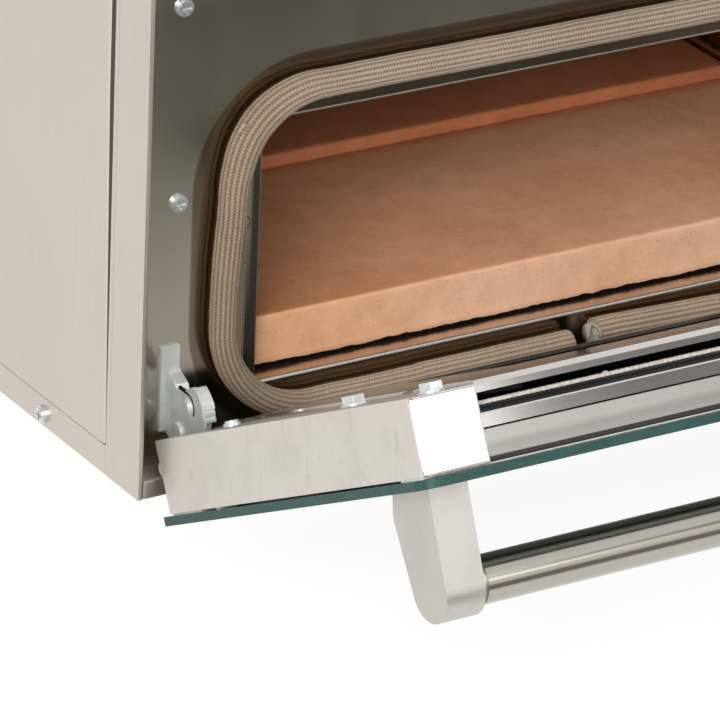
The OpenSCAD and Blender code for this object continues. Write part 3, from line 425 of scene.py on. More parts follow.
screw_zinc = metal("screw_zinc", (0.62, 0.66, 0.67), 0.30, EVEN, 0.05, 0.02, 0.14, 200.0, 0.9)
heater = metal("heater", (0.10, 0.10, 0.10), 0.45, EVEN, smudge=0.3)
copper = metal("copper", (0.70, 0.45, 0.28), 0.3, EVEN)
black = plain("black_plastic", (0.02, 0.02, 0.022), 0.42)
red = plain("red_plastic", (0.42, 0.02, 0.015), 0.25)
rubber = plain("rubber", (0.025, 0.025, 0.026), 0.75)
porcelain = plain("porcelain", (0.72, 0.70, 0.64), 0.25)
spacer = plain("spacer", (0.62, 0.62, 0.58), 0.5)
ink = plain("dial_ink", (0.03, 0.03, 0.03), 0.5)
white_ink = plain("pointer_ink", (0.80, 0.80, 0.78), 0.5)
fleece = plain("fleece", (0.52, 0.475, 0.415), 0.95, 700.0, 0.6, 0.25)
thread_fibre = plain("thread_fibre", (0.50, 0.42, 0.31), 0.9, 900.0, 0.2, 0.3)
core_fibre = plain("core_fibre", (0.56, 0.53, 0.48), 0.95, 900.0, 0.5, 0.25)
# Near black: painted shade under the stones' chipped front edge
underside_shade = plain("underside_shade", (0.030, 0.024, 0.019), 0.95, 300.0, 0.3, 0.3)
# Near black: painted shade in the side panel's seam; also the dark loop thread on the rope
seam_dark = plain("seam_dark", (0.050, 0.037, 0.029), 0.8, 300.0, 0.1, 0.2)
seam_faint = plain("seam_faint", (0.40, 0.37, 0.32), 0.6, 300.0, 0.05, 0.1)


def glass_material(name, tint):
    """Clear glass with a faint film."""
    made, tree, bsdf = shader(name)
    film = spread(tree, spots(tree, 30.0, 3.0), 0.0, 0.03)
    fill(tree, bsdf, {"Base Color": (*tint, 1), "Transmission Weight": 1.0, "IOR": 1.5, "Roughness": film})
    return made


def glass_edge_material():
    """Ground edge of float glass, which carries the green of the whole pane."""
    made, tree, bsdf = shader("glass_edge")
    ground = spots(tree, 1.0, 2.0, 0.6, (60, 800, 800))
    tint = ramp(tree, ground, [(0.3, (0.022, 0.064, 0.058)), (0.7, (0.036, 0.086, 0.078))])
    fill(tree, bsdf, {"Base Color": tint, "Roughness": 0.35, "Specular IOR Level": 0.15})
    return made


def enamel_material():
    """Black enamel on the inner face of the outer glass, clear over the window."""
    made, tree, bsdf = shader("enamel_face")
    inside = vectors(tree, "SUBTRACT", place_of(tree), HINGE_POINT)[0]
    along = vectors(tree, "DOT_PRODUCT", inside, DOOR_UP)["Value"]
    out_x = beyond(tree, axis_of(tree, "X"), casing_xs(WINDOW_X))
    out_d = beyond(tree, along, [(d + HINGE_UNDER) * MM for d in WINDOW_D])
    border = calc(tree, "GREATER_THAN", calc(tree, "MAXIMUM", out_x, out_d), 0.0)
    tint = ramp(tree, border, [(0.0, (0.80, 0.90, 0.87)), (1.0, (0.006, 0.006, 0.007))])
    clear = remap(tree, border, (0.0, 1.0), 1.0, 0.0)
    fill(tree, bsdf, {"Base Color": tint, "Transmission Weight": clear, "Roughness": 0.08, "IOR": 1.5})
    return made


def lamp_material():
    """Orange lens of a pilot lamp."""
    made, tree, bsdf = shader("lamp")
    ribs = spots(tree, 400.0, 2.0)
    tint = ramp(tree, ribs, [(0.3, (0.75, 0.22, 0.03)), (0.7, (0.9, 0.35, 0.06))])
    fill(tree, bsdf, {"Base Color": tint, "Transmission Weight": 0.4, "Roughness": 0.15})
    return made


# Where the rope's painted light and shade change, in millimetres: away from its left run, and up from its
# lower run
ROPE_LIGHT_X = (62.0, 112.0)
ROPE_LIGHT_Z = (45.0, 110.0)
# Lean of a stitch, in stitches over the width of a row
STITCH_SLANT = 1.3


def rope_painted_light(tree):
    """Rope darker on its left run and on its upper runs, and painted lighter along its bottom run, which
    lies in shade.
    """
    along = share_of(tree, axis_of(tree, "X"), casing_xs(ROPE_LIGHT_X))
    rise = share_of(tree, axis_of(tree, "Z"), casing_zs(ROPE_LIGHT_Z))
    low = ramp(tree, along, [(0.0, (0.64, 0.60, 0.55)), (1.0, (1.25, 1.22, 1.18))])
    high = ramp(tree, along, [(0.0, (0.65, 0.60, 0.54)), (1.0, (0.86, 0.84, 0.86))])
    return blend(tree, rise, low, high)


def rope_material():
    """Knitted glass fibre: rows of slanted stitches along the rope, with a groove between rows, painted
    darker as shade.
    """
    made, tree, bsdf = shader("rope")
    weave = add(tree, "ShaderNodeUVMap", {}, uv_map="weave").outputs[0]
    split = add(tree, "ShaderNodeSeparateXYZ", {"Vector": weave})
    across = calc(tree, "PINGPONG", split.outputs["X"], 0.5)
    slant = calc(tree, "MULTIPLY", across, STITCH_SLANT)
    phase = calc(tree, "MULTIPLY", calc(tree, "ADD", split.outputs["Y"], slant), 2 * math.pi)
    stitch = calc(tree, "MULTIPLY", calc(tree, "SINE", phase), 0.15)
    groove = calc(tree, "MULTIPLY", calc(tree, "POWER", calc(tree, "MULTIPLY", across, 2.0), 0.7), 0.62)
    height = calc(tree, "ADD", calc(tree, "ADD", stitch, groove), 0.14)
    fuzz = spots(tree, 900.0, 3.0)
    soil_and_shade = spots(tree, 25.0, 4.0)
    # The tone follows the stitch height, so the grooves and the edges of rows are darker: painted shade in
    # the creases, over the fibre's own tone
    tone = calc(tree, "ADD", height, spread(tree, fuzz, -0.10, 0.10))
    tone = calc(tree, "ADD", tone, spread(tree, soil_and_shade, -0.10, 0.10))
    stops = [(0.05, (0.135, 0.092, 0.060)), (0.45, (0.360, 0.275, 0.195)), (0.9, (0.60, 0.485, 0.360))]
    fill(tree, bsdf, {
        "Base Color": multiply(tree, ramp(tree, tone, stops), rope_painted_light(tree)),
        "Roughness": 0.8,
        "Sheen Weight": 0.15,
        "Normal": dents(tree, height, 0.9, 0.5 * MM),
    })
    return made


# Painted shade round the rope on the plate, for the rope's shadow and dark reflection, in millimetres:
# middle height, half width and height, corner, fading edge
ROPE_SHADE_Z = 90.8
ROPE_SHADE_HALF = (200.0, 84.5)
ROPE_SHADE_CORNER = 55.0
ROPE_SHADE_FADE = 2.0
ROPE_SHADE_TINT = (0.50, 0.42, 0.36)


def mouth_material():
    """Polished plate round the mouth, with painted shade where the rope lies on it, for the rope's shadow
    and dark reflection.
    """
    made, tree, bsdf = shader("mouth_steel")
    middle = on_casing((MOUTH_X[0] + MOUTH_X[1]) / 2, 0, ROPE_SHADE_Z)
    straight = Vector((ROPE_SHADE_HALF[0] - ROPE_SHADE_CORNER, 0, ROPE_SHADE_HALF[1] - ROPE_SHADE_CORNER)) * MM
    inside = vectors(tree, "SUBTRACT", place_of(tree), middle)[0]
    flat = vectors(tree, "MULTIPLY", inside, (1, 0, 1))[0]
    mirrored = vectors(tree, "ABSOLUTE", flat)[0]
    past = vectors(tree, "SUBTRACT", mirrored, straight)[0]
    outside = vectors(tree, "MAXIMUM", past)[0]
    reach = vectors(tree, "LENGTH", outside)["Value"]
    # Inside the rope's outer outline the plate is tinted dark: painted shade and reflection of the rope
    unshaded = share_of(tree, reach, (ROPE_SHADE_CORNER * MM, (ROPE_SHADE_CORNER + ROPE_SHADE_FADE) * MM))
    soil_and_shade = ramp(tree, unshaded, [(0.0, ROPE_SHADE_TINT), (0.55, shade(ROPE_SHADE_TINT, 1.12)), (1.0, (1, 1, 1))])
    tint = multiply(tree, clouded(tree, (0.53, 0.505, 0.42)), soil_and_shade)
    full_metal(tree, bsdf, tint, (40, 40, 8), (0.175, 0.205), 0.006)
    return made


# Painted reflection and shade on the door's rail: its tint, and the brightness of its bands from the inner
# to the outer edge
RAIL_PAINTED_TINT = (1.0, 0.985, 0.96)
RAIL_BANDS = ((0.0, 0.90), (0.34, 0.90), (0.53, 0.68), (0.70, 0.70), (0.82, 0.80), (0.93, 0.50),
              (1.0, 0.36))


def rail_material():
    """Flat rail of the door's free end, with painted reflection and shade in bands along its length."""
    made, tree, bsdf = shader("rail_steel")
    reach = [vertex.co.dot(DOOR_OUT) for vertex in nodes["door_rail"].data.vertices]
    through = vectors(tree, "DOT_PRODUCT", place_of(tree), DOOR_OUT)["Value"]
    place = share_of(tree, through, (min(reach), max(reach)))
    painted_bands = ramp(tree, place, [(where, shade(RAIL_PAINTED_TINT, level)) for where, level in RAIL_BANDS])
    tint = multiply(tree, clouded(tree, (0.47, 0.46, 0.43)), painted_bands)
    full_metal(tree, bsdf, tint, ALONG_X, (0.30, 0.38), 0.02)
    return made


# Width of the chamber sides' front edge inside the mouth, and the heights between which it brightens
JAMB_W = 8.4
JAMB_RISE = (60.0, 106.0)


def jamb_material():
    """Front edge of the chamber's sides, painted near black as shade in the mouth, paler beside the mouth's
    lip, with a thin pale inner edge.
    """
    made, tree, bsdf = shader("jamb_steel")
    outside = beyond(tree, axis_of(tree, "X"), casing_xs(MOUTH_X))
    inward = calc(tree, "DIVIDE", outside, -JAMB_W * MM)
    # Near black: painted shade on the chamber sides' front edge
    dark = (0.080, 0.075, 0.066)
    inner = [(0.92, dark), (0.97, (0.30, 0.24, 0.17))]
    outer = [(0.0, (0.42, 0.41, 0.30)), (0.42, (0.33, 0.32, 0.23)), (0.62, dark)]
    low = ramp(tree, inward, [(0.0, dark)] + inner)
    high = ramp(tree, inward, outer + inner)
    rise = share_of(tree, axis_of(tree, "Z"), casing_zs(JAMB_RISE))
    full_metal(tree, bsdf, blend(tree, rise, low, high), UPRIGHT, (0.41, 0.49), 0.02)
    return made


# Places across the stones, in millimetres, between which their colour goes from painted shade at the left
# to painted light at the right
STONE_LIGHT_X = (75.0, 275.0)


def stone_material(name, tint, left, right):
    """Fired clay with soft patches, specks and a grainy pitted surface, tinted as a whole, with painted
    shade at the left and painted light at the right.
    """
    made, tree, bsdf = shader(name)
    place = share_of(tree, axis_of(tree, "X"), casing_xs(STONE_LIGHT_X))
    painted_light_across = ramp(tree, place, [(0.0, left), (0.5, (1, 1, 1)), (1.0, right)])
    blotch = spots(tree, 75.0, 4.0, 0.65)
    mottle = ramp(tree, blotch, [(0.35, (0.92, 0.90, 0.87)), (0.65, (1.03, 1.03, 1.03))])
    patch = spots(tree, 16.0, 5.0, 0.6)
    grit = spots(tree, 520.0, 3.0, 0.65)
    pits = spots(tree, 130.0, 4.0, 0.7)
    clay = [(0.3, (0.80, 0.445, 0.265)), (0.5, (0.87, 0.515, 0.325)), (0.72, (0.91, 0.575, 0.385))]
    fired = [(where, tuple(c * t for c, t in zip(colour, tint))) for where, colour in clay]
    base = ramp(tree, patch, fired)
    speck = ramp(tree, grit, [(0.27, (0.62, 0.44, 0.32)), (0.4, (1, 1, 1))])
    stain = ramp(tree, pits, [(0.25, (0.76, 0.65, 0.55)), (0.36, (1, 1, 1))])
    worn = multiply(tree, multiply(tree, base, painted_light_across), mottle)
    rough = calc(tree, "ADD", calc(tree, "MULTIPLY", pits, 0.7), calc(tree, "MULTIPLY", grit, 0.3))
    fill(tree, bsdf, {
        "Base Color": multiply(tree, multiply(tree, worn, speck, 0.4), stain, 0.5),
        "Roughness": 0.92,
        "Specular IOR Level": 0.25,
        "Normal": dents(tree, rough, 0.5, 0.5 * MM),
    })
    return made


glass = glass_material("glass", (0.80, 0.90, 0.87))
inner_pane = glass_material("inner_pane", (0.45, 0.52, 0.49))
glass_edge = glass_edge_material()
enamel_face = enamel_material()
lamp = lamp_material()
rope_fibre = rope_material()
# The top of the front stone and the whole rear stone are darker copies of the clay: painted shade inside
# the chamber
terracotta = stone_material("terracotta", (1.02, 1.0, 1.0), (0.87, 0.86, 0.74), (1.03, 1.04, 1.04))
top_clay_painted_shade = stone_material("top_clay_painted_shade", (1.03, 0.84, 0.71), (0.64, 0.57, 0.46), (1.06, 1.15, 1.25))
rear_clay_painted_shade = stone_material("rear_clay_painted_shade", (0.80, 0.50, 0.36), (1, 1, 1), (1, 1, 1))
mouth_steel = mouth_material()
jamb_steel = jamb_material()
rail_steel = rail_material()

# Materials of the CAD nodes
FINISHES = {
    satin: ["side_left", "side_right", "top_cover", "frame_left", "frame_sill", "frame_header", "frame_mid",
            "control_panel", "base_pan"],
    sheet: ["back_panel", "bay_wall", "stone_posts", "element_clips"],
    chamber: ["chamber_floor", "chamber_left", "chamber_right", "chamber_back", "chamber_ceiling"],
    # Near black steel in the door: painted shade
    hollow_shade: ["door_pan", "glass_clips"],
    mouth_steel: ["mouth_plate"],
    mirror: ["door_plate", "door_liner"],
    ledge_steel: ["mouth_ledge"],
    rail_steel: ["door_rail"],
    door_side: ["door_stile_left", "door_stile_right"],
    bracket_steel: ["handle_brackets"],
    tube_metal: ["handle_tube"],
    zinc: ["hinge_arms", "lock_levers", "hinge_channels", "hinge_pins"],
    screw_zinc: ["plate_screws", "side_screws", "handle_screws", "door_bolts"],
    heater: ["element_top", "element_bottom"],
    copper: ["sensor_bulbs"],
    black: ["thermostats", "knob_top", "knob_bottom", "switch_body", "cable_gland"],
    red: ["switch_rocker"],
    rubber: ["feet"],
    porcelain: ["terminal_block"],
    spacer: ["glass_spacers"],
    lamp: ["pilot_lamps"],
    fleece: ["blanket_sides", "blanket_back", "blanket_top", "blanket_bottom", "door_fibre"],
    glass: ["door_glass"],
    inner_pane: ["inner_glass"],
    rope_fibre: ["gasket"],
    terracotta: ["stone_front", "stone_rear"],
}
for finish, names in FINISHES.items():
    for name in names:
        nodes[name].data.materials.clear()
        nodes[name].data.materials.append(finish)


def mark_faces(name, material, wanted):
    """Gives a second material to the faces whose direction is wanted."""
    mesh = nodes[name].data
    mesh.materials.append(material)
    index = len(mesh.materials) - 1
    for face in mesh.polygons:
        if wanted(face.normal):
            face.material_index = index


# How far a face's direction reaches along another one when the face looks that way
FACING = 0.9
FACING_CLOSELY = 0.97
for pane in ("door_glass", "inner_glass"):
    mark_faces(pane, glass_edge, lambda normal: abs(normal.dot(DOOR_OUT)) < FACING)
mark_faces("door_glass", enamel_face, lambda normal: normal.dot(DOOR_OUT) < -FACING)
for wall in ("chamber_left", "chamber_right"):
    mark_faces(wall, jamb_steel, lambda normal: normal.y < -FACING)
# The liner's faces, other than those that look along the door, are near black: painted shade in the door's
# hollow
mark_faces("door_liner", hollow_shade, lambda normal: normal.dot(DOOR_UP) < FACING_CLOSELY)

# Rounded edges of sheet and moulded pieces, in millimetres
ROUNDED = {
    "frame_left": 0.3, "frame_sill": 0.3, "frame_header": 0.3, "frame_mid": 0.3, "top_cover": 0.4,
    "control_panel": 0.4, "side_right": 0.3, "base_pan": 0.3, "back_panel": 0.3,
    "door_stile_left": 0.4, "door_stile_right": 0.4, "door_rail": 0.3, "handle_brackets": 0.4,
    "hinge_arms": 0.25, "lock_levers": 0.2, "door_bolts": 0.9, "plate_screws": 0.12, "side_screws": 0.12,
    "knob_top": 0.8, "knob_bottom": 0.8, "switch_body": 0.6, "switch_rocker": 0.8, "feet": 0.6,
    "cable_gland": 0.5, "door_glass": 0.25,
}
for name, width in ROUNDED.items():
    soften(name, width)

# Rope gasket round the mouth, in millimetres: radii, corner, place of its ends, rows and stitches
ROPE_LOW, ROPE_HIGH = casing_box("gasket")
ROPE_R = 6.5
ROPE_CORNER = 44
ROPE_JOINT = 231
ROPE_WALES = 16
WALE_POINTS = 4
ROPE_AROUND = ROPE_WALES * WALE_POINTS
ROPE_STITCH = 1.45
ROPE_STEP = ROPE_STITCH / 3
ROPE_RIDGE = 0.4
STITCH_DEPTH = 0.10
ROPE_FLAT = ROPE_HIGH.y - 0.03
ROPE_Y = ROPE_LOW.y + ROPE_R
ROPE_X = (ROPE_LOW.x + ROPE_R, ROPE_HIGH.x - ROPE_R)
ROPE_Z = (ROPE_LOW.z + ROPE_R, ROPE_HIGH.z - ROPE_R)
# Distance of the two ends from the joint
ROPE_LEFT_END = 4.1
ROPE_RIGHT_END = 8.0
# Rings that close the ends: how far inside the rope they lie, and their size; places of their stitches
LEFT_CLOSE = ((2.2, 0.35), (0.5, 0.78))
RIGHT_CLOSE = ((0.5, 0.80), (1.8, 0.40))
CLOSE_MARKS = (1.4, 0.7)
# The left run, up to this place, leans in towards the mouth under its upper corner
LEFT_RUN = 150
LEAN = 3.3
LEAN_RISE = (68, 130)
LEAN_FALL = (130, 160)
# The right end is lifted over a length
END_LIFT = 2.8
LIFT_RUN = (0, 130)
# Half width and depth of the rope, and what adds to its width: upper and lower bends, the lifted end
ROPE_HALF = (6.1, 6.25)
BEND_SWELL = (1.7, 0.4)
LIFT_SWELL = 0.16
# How much thinner the left run is at its foot, and the heights between which that ends
LEFT_THIN = 0.45
THIN_RISE = (72, 102)
# Waves of the rope's path, width, depth and knit: height, length and seed
PATH_X_WAVE = (0.25, 31, 1)
PATH_Z_WAVE = (0.25, 27, 2)
WIDTH_WAVE = (0.15, 12, 3)
DEPTH_WAVE = (0.1, 16, 4)
KNIT_WAVE = (0.08, 2.2, 5)
# Core showing at the right end
CORE_START = 1.5
CORE_REACH = 4.3
CORE_SIZE = 0.80
CORE_TAPER = 0.02
CORE_STEPS = 6
# Thread that arches over the core: middle over the rope's axis, half sizes, angles, radius
ARCH_X = 235.8
ARCH_OVER = 2.0
ARCH_WIDE = 3.3
ARCH_TALL = 3.9
ARCH_TURN = (200, -25)
ARCH_STEPS = 16
ARCH_R = 0.9
# Curve of the rope's front under the arch, how far the arch stands off it and how far back it stays
ARCH_SPAN = 6.7
ARCH_OFF = 0.2
ARCH_BACK = 0.4
# Strands that stand off the upper left bend: first base and tip, and the steps to the next
STRANDS = 5
STRAND_BASE = (54.0, 14.4, 151.0)
STRAND_TIP = (51.0, 13.6, 152.4)
STRAND_BASE_STEP = (0.5, 0.0, 0.5)
STRAND_TIP_STEP = (0.35, -0.1, 0.7)
STRAND_BOW = (0.0, -0.2, 0.5)
STRAND_R = 0.35
# Loose loop beside the left run
LOOP_PLACE = (58.2, 16.6, 108.9)
LOOP_HALF = (1.9, 2.6)
LOOP_STEPS = 8
LOOP_R = 0.3


def rope_runs():
    """Lengths of the rope's straight and bent runs, with the radius of a bend."""
    bend = (ROPE_CORNER * math.pi / 2, ROPE_CORNER)
    wide = ROPE_X[1] - ROPE_X[0] - 2 * ROPE_CORNER
    tall = ROPE_Z[1] - ROPE_Z[0] - 2 * ROPE_CORNER
    first = ROPE_JOINT - ROPE_X[0] - ROPE_CORNER
    return [(first, 0), bend, (tall, 0), bend, (wide, 0), bend, (tall, 0), bend, (wide - first, 0)]


ROPE_RUNS = rope_runs()
ROPE_LENGTH = sum(length for length, radius in ROPE_RUNS)
ROPE_LAST = ROPE_LENGTH - ROPE_RIGHT_END


def rope_centre(s):
    """Place, heading and bend of the rope at a length along it from the joint, first to the left."""
    x = ROPE_JOINT
    z = ROPE_Z[0]
    heading = math.pi
    bent = 0.0
    for length, radius in ROPE_RUNS:
        part = min(s, length)
        if radius and part > 0:
            turned = heading - part / radius
            x += radius * (math.sin(heading) - math.sin(turned))
            z += radius * (math.cos(turned) - math.cos(heading))
            heading = turned
            bent = math.sin(math.pi * part / length) if part < length else 0.0
        else:
            x += math.cos(heading) * part
            z += math.sin(heading) * part
        s -= part
        if s <= 0:
            break
    return x, z, heading, bent


def rope_lean(x, z):
    """How far the left run leans in."""
    if x > LEFT_RUN:
        return 0.0
    return LEAN * ease(z, LEAN_RISE) * (1 - ease(z, LEAN_FALL))


def rope_lift(s):
    """How much higher the rope lies near its right end."""
    return END_LIFT * (1 - ease(ROPE_LENGTH - s, LIFT_RUN))


def rope_ring(s, scale=1.0):
    """Points round the rope at a length along it."""
    x, z, heading, bent = rope_centre(s)
    swell = BEND_SWELL[0] if z > sum(ROPE_Z) / 2 else BEND_SWELL[1]
    thin = LEFT_THIN * (1 - ease(z, THIN_RISE)) if x < LEFT_RUN else 0.0
    x += rope_lean(x, z) + wave(s, PATH_X_WAVE)
    lift = rope_lift(s)
    z += lift + wave(s, PATH_Z_WAVE)
    more = swell * bent + LIFT_SWELL * lift + wave(s, WIDTH_WAVE)
    wide = (ROPE_HALF[0] - thin + more) * scale
    deep = (ROPE_HALF[1] + wave(s, DEPTH_WAVE)) * scale
    out_x = -math.sin(heading)
    out_z = math.cos(heading)
    ring = []
    for j in range(ROPE_AROUND):
        turn = 2 * math.pi * j / ROPE_AROUND
        across = (j % WALE_POINTS) / WALE_POINTS
        crest = math.sin(math.pi * across)
        slant = STITCH_SLANT * min(across, 1 - across)
        stitch = STITCH_DEPTH * crest * math.sin(2 * math.pi * (s / ROPE_STITCH + slant))
        drop = ROPE_RIDGE * (crest - 1) + stitch + wave(s + 3 * j, KNIT_WAVE)
        side = (wide + drop) * math.cos(turn)
        back = min(ROPE_Y - (deep + drop) * math.sin(turn), ROPE_FLAT)
        ring.append(on_casing(x + side * out_x, back, z + side * out_z))
    return ring


def build_rope():
    """Knitted rope, with its rows and stitches as texture coordinates."""
    first = ROPE_LEFT_END
    last = ROPE_LAST
    count = int((last - first) / ROPE_STEP)
    marks = [first + ROPE_STEP * i for i in range(count + 1)]
    rings = [rope_ring(first + inside, size) for inside, size in LEFT_CLOSE]
    rings += [rope_ring(s) for s in marks]
    rings += [rope_ring(last - inside, size) for inside, size in RIGHT_CLOSE]
    marks = [first + inside for inside in CLOSE_MARKS] + marks
    marks += [last - inside for inside in reversed(CLOSE_MARKS)]
    rope = piece("rope_gasket", loft(rings), rope_fibre, "casing")
    mesh = rope.data
    layer = mesh.uv_layers.new(name="weave")
    for face in mesh.polygons:
        corners = [mesh.loops[i].vertex_index for i in face.loop_indices]
        wraps = any(c % ROPE_AROUND == ROPE_AROUND - 1 for c in corners)
        for i, corner in zip(face.loop_indices, corners):
            column = corner % ROPE_AROUND
            if wraps and column == 0:
                column = ROPE_AROUND
            layer.data[i].uv = (column / WALE_POINTS, marks[corner // ROPE_AROUND] / ROPE_STITCH)
    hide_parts("gasket")


def arch_thread():
    """Thread that arches over the rope's right end."""
    path = []
    for angle in sweep(*ARCH_TURN, ARCH_STEPS):
        turn = math.radians(angle)
        over = ARCH_OVER + ARCH_TALL * math.sin(turn)
        front = ROPE_Y - ARCH_OFF - ROPE_R * math.sqrt(max(0.0, 1 - (over / ARCH_SPAN) ** 2))
        place = (ARCH_X + ARCH_WIDE * math.cos(turn), max(front, ROPE_LOW.y + ARCH_BACK))
        path.append(on_casing(*place, ROPE_Z[0] + rope_lift(ROPE_LAST) + over))
    return thread(path, ARCH_R * MM)


def build_rope_ends():
    """Pale core between the rope's ends, the thread round the right end, strands and a loop on the rope."""
    core = []
    for i, s in enumerate(sweep(ROPE_LAST - CORE_START, ROPE_LAST - CORE_START + CORE_REACH, CORE_STEPS)):
        core.append(rope_ring(s, CORE_SIZE - CORE_TAPER * i))
    piece("rope_core", loft(core), core_fibre, "casing")
    threads = [arch_thread()]
    for i in range(STRANDS):
        base = on_casing(*STRAND_BASE) + Vector(STRAND_BASE_STEP) * i * MM
        tip = on_casing(*STRAND_TIP) + Vector(STRAND_TIP_STEP) * i * MM
        knee = (base + tip) / 2 + Vector(STRAND_BOW) * MM
        threads.append(thread([base, knee, tip], STRAND_R * MM, 6))
    piece("rope_threads", join(threads), thread_fibre, "casing")
    loop = []
    for t in sweep(0, math.pi, LOOP_STEPS):
        out = LOOP_HALF[0] * math.sin(t)
        over = LOOP_HALF[1] * math.cos(t)
        loop.append(on_casing(LOOP_PLACE[0] + out, LOOP_PLACE[1], LOOP_PLACE[2] + over))
    piece("rope_loop", thread(loop, LOOP_R * MM, 6), seam_dark, "casing")


# Baking stones, with a worn upper edge and a chipped lower front edge, in millimetres
STONE_STEP = 0.8
# Steps up the front face, round the upper edge, over the top and down the back
FACE_STEPS = 8
EDGE_STEPS = 4
TOP_STEPS = 24
BACK_STEPS = 4
# Chips: mean and least height; waves with their height, length and seed; more of them at the left corner
CHIP_MEAN = 0.6
CHIP_LEAST = 0.2
CHIP_WAVES = ((0.5, 11, 0), (0.45, 3.2, 1), (0.4, 1.3, 5))
CHIP_SLOPE = 0.3
CORNER_CHIP = 0.8
CORNER_X = 66
CORNER_WIDE = 26
# How far the underside starts behind the front face
UNDERCUT = (3.0, 1.0)
# Upper edge: mean radius, and a wave with its height and length; bevel at the back
STONE_EDGE = 1.6
EDGE_WAVE = (0.8, 14)
BACK_BEVEL = 0.3
# How much the steps over the top crowd to the front
TOP_CROWD = 1.3
# Rubbing: depth and size of the coarse and the fine one
RUB = (0.22, 13)
FINE_RUB = (0.16, 3.5)


def chip_height(x, seed):
    """Height of the chipped lower edge over the stone's underside, in mm."""
    waves = sum(height * wander(x, length, seed + more) for height, length, more in CHIP_WAVES)
    corner = CORNER_CHIP * math.exp(-((x - CORNER_X) / CORNER_WIDE) ** 2)
    return max(CHIP_LEAST, CHIP_MEAN + waves + corner)


def stone_section(x, low, high, seed):
    """Points round a stone at one place along its width."""
    chip = chip_height(x, seed)
    edge = STONE_EDGE + EDGE_WAVE[0] * wander(x, EDGE_WAVE[1], seed + 2)
    outline = [(low.y + UNDERCUT[0] + chip, low.z)]
    outline.append((low.y + UNDERCUT[1] + CHIP_SLOPE * chip, low.z + CHIP_SLOPE * chip))
    for z in sweep(low.z + chip, high.z - edge, FACE_STEPS):
        outline.append((low.y, z))
    for t in sweep(0, math.pi / 2, EDGE_STEPS)[1:-1]:
        outline.append((low.y + edge * (1 - math.cos(t)), high.z - edge * (1 - math.sin(t))))
    for t in sweep(0, 1, TOP_STEPS):
        outline.append((low.y + edge + (high.y - low.y - 2 * edge) * t ** TOP_CROWD, high.z))
    outline.append((high.y - BACK_BEVEL * edge, high.z - BACK_BEVEL * edge))
    for z in sweep(high.z - edge, low.z + edge, BACK_STEPS):
        outline.append((high.y, z))
    outline.append((high.y - edge, low.z))
    middle = (low + high) / 2
    ring = []
    for y, z in outline:
        spot = Vector((x, y, z))
        rub = RUB[0] * abs(noise.noise(spot / RUB[1]))
        if z < high.z:
            rub += FINE_RUB[0] * abs(noise.noise(spot / FINE_RUB[1]))
        inward_y = rub if y < middle.y else -rub
        inward_z = rub if z < middle.z else -rub
        ring.append(on_casing(x, y + inward_y, z + inward_z))
    return ring


# Columns of a stone's section that carry painted shade underneath, and those on its top, which is painted
# as shaded
UNDERSIDE_SHADE_COLUMNS = (0, 1)
TOP_START = len(UNDERSIDE_SHADE_COLUMNS) + FACE_STEPS + EDGE_STEPS
TOP_COLUMNS = (TOP_START - 1, TOP_START + TOP_STEPS)


def build_stone(name, node, seed, material, top):
    """A stone in place of its CAD node, with painted shade underneath and on its top."""
    low, high = casing_box(node)
    count = int((high.x - low.x) / STONE_STEP)
    rings = [stone_section(x, low, high, seed) for x in sweep(low.x, high.x, count)]
    stone = piece(name, loft(rings), material, "casing")
    stone.data.materials.append(underside_shade)
    stone.data.materials.append(top)
    around = len(rings[0])
    for face in stone.data.polygons:
        column = face.index % around
        if face.index >= count * around:
            continue
        if column in UNDERSIDE_SHADE_COLUMNS or column == around - 1:
            face.material_index = 1
        elif TOP_COLUMNS[0] <= column < TOP_COLUMNS[1]:
            face.material_index = 2
    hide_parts(node)


# Rolled lip round the mouth, in millimetres: how far it stands into the mouth and over the plate
LIP_IN = 1.1
LIP_ROOT = 0.2
LIP_FRONT = 0.2
LIP_DEPTH = 2.8
LIP_STEPS = 8


def build_lip():
    """Rolled lip as four runs with mitred corners."""
    front = casing_box("mouth_plate")[0].y - LIP_FRONT
    outline = []
    for t in sweep(0, math.pi, LIP_STEPS):
        out = LIP_ROOT - (LIP_IN + LIP_ROOT) * math.sin(t)
        outline.append((out, front + LIP_DEPTH * (1 - math.cos(t)) / 2))
    rings = []
    ways = rectangle((-1, 1), (-1, 1))
    for (x, z), (way_x, way_z) in zip(rectangle(MOUTH_X, MOUTH_Z), ways):
        rings.append([on_casing(x + way_x * out, y, z + way_z * out) for out, y in outline])
    rings.append(rings[0])
    lip = piece("mouth_lip", loft(rings, False), lip_steel, "casing")
    lip.data.set_sharp_from_angle(angle=SHARP)


# Dark fill in each lock lever's slot, painted shade over the slot's floor, in millimetres from the casing's
# corner
SLOT_X = (26.26, 27.45)
SLOT_MIDDLE = (6.5, 35.2)
SLOT_R = (4.6, 5.8)
SLOT_TURN = (95, 205)
SLOT_STEPS = 12
SLOT_RUN = (5.5, 14.0)
SLOT_RISE = (40.4, 41.6)
# Middle of the door, in millimetres
DOOR_MIDDLE = 238.6


def both_sides(ends):
    """Two ends on the door's left side, and their mirror image on its right side."""
    return ends, (2 * DOOR_MIDDLE - ends[1], 2 * DOOR_MIDDLE - ends[0])


def build_slots():
    """Bent and straight run of the slot, left and right."""
    outline = []
    bend = sweep(*SLOT_TURN, SLOT_STEPS)
    for radius, angles in ((SLOT_R[0], bend), (SLOT_R[1], reversed(bend))):
        for angle in angles:
            turn = math.radians(angle)
            y = SLOT_MIDDLE[0] + radius * math.cos(turn)
            outline.append((y, SLOT_MIDDLE[1] + radius * math.sin(turn)))
    parts = []
    for ends in both_sides(SLOT_X):
        for shape in (outline, rectangle(SLOT_RUN, SLOT_RISE)):
            parts.append(loft([[on_casing(x, y, z) for y, z in shape] for x in ends]))
    piece("lever_slots", join(parts), hollow_shade, "casing", False)


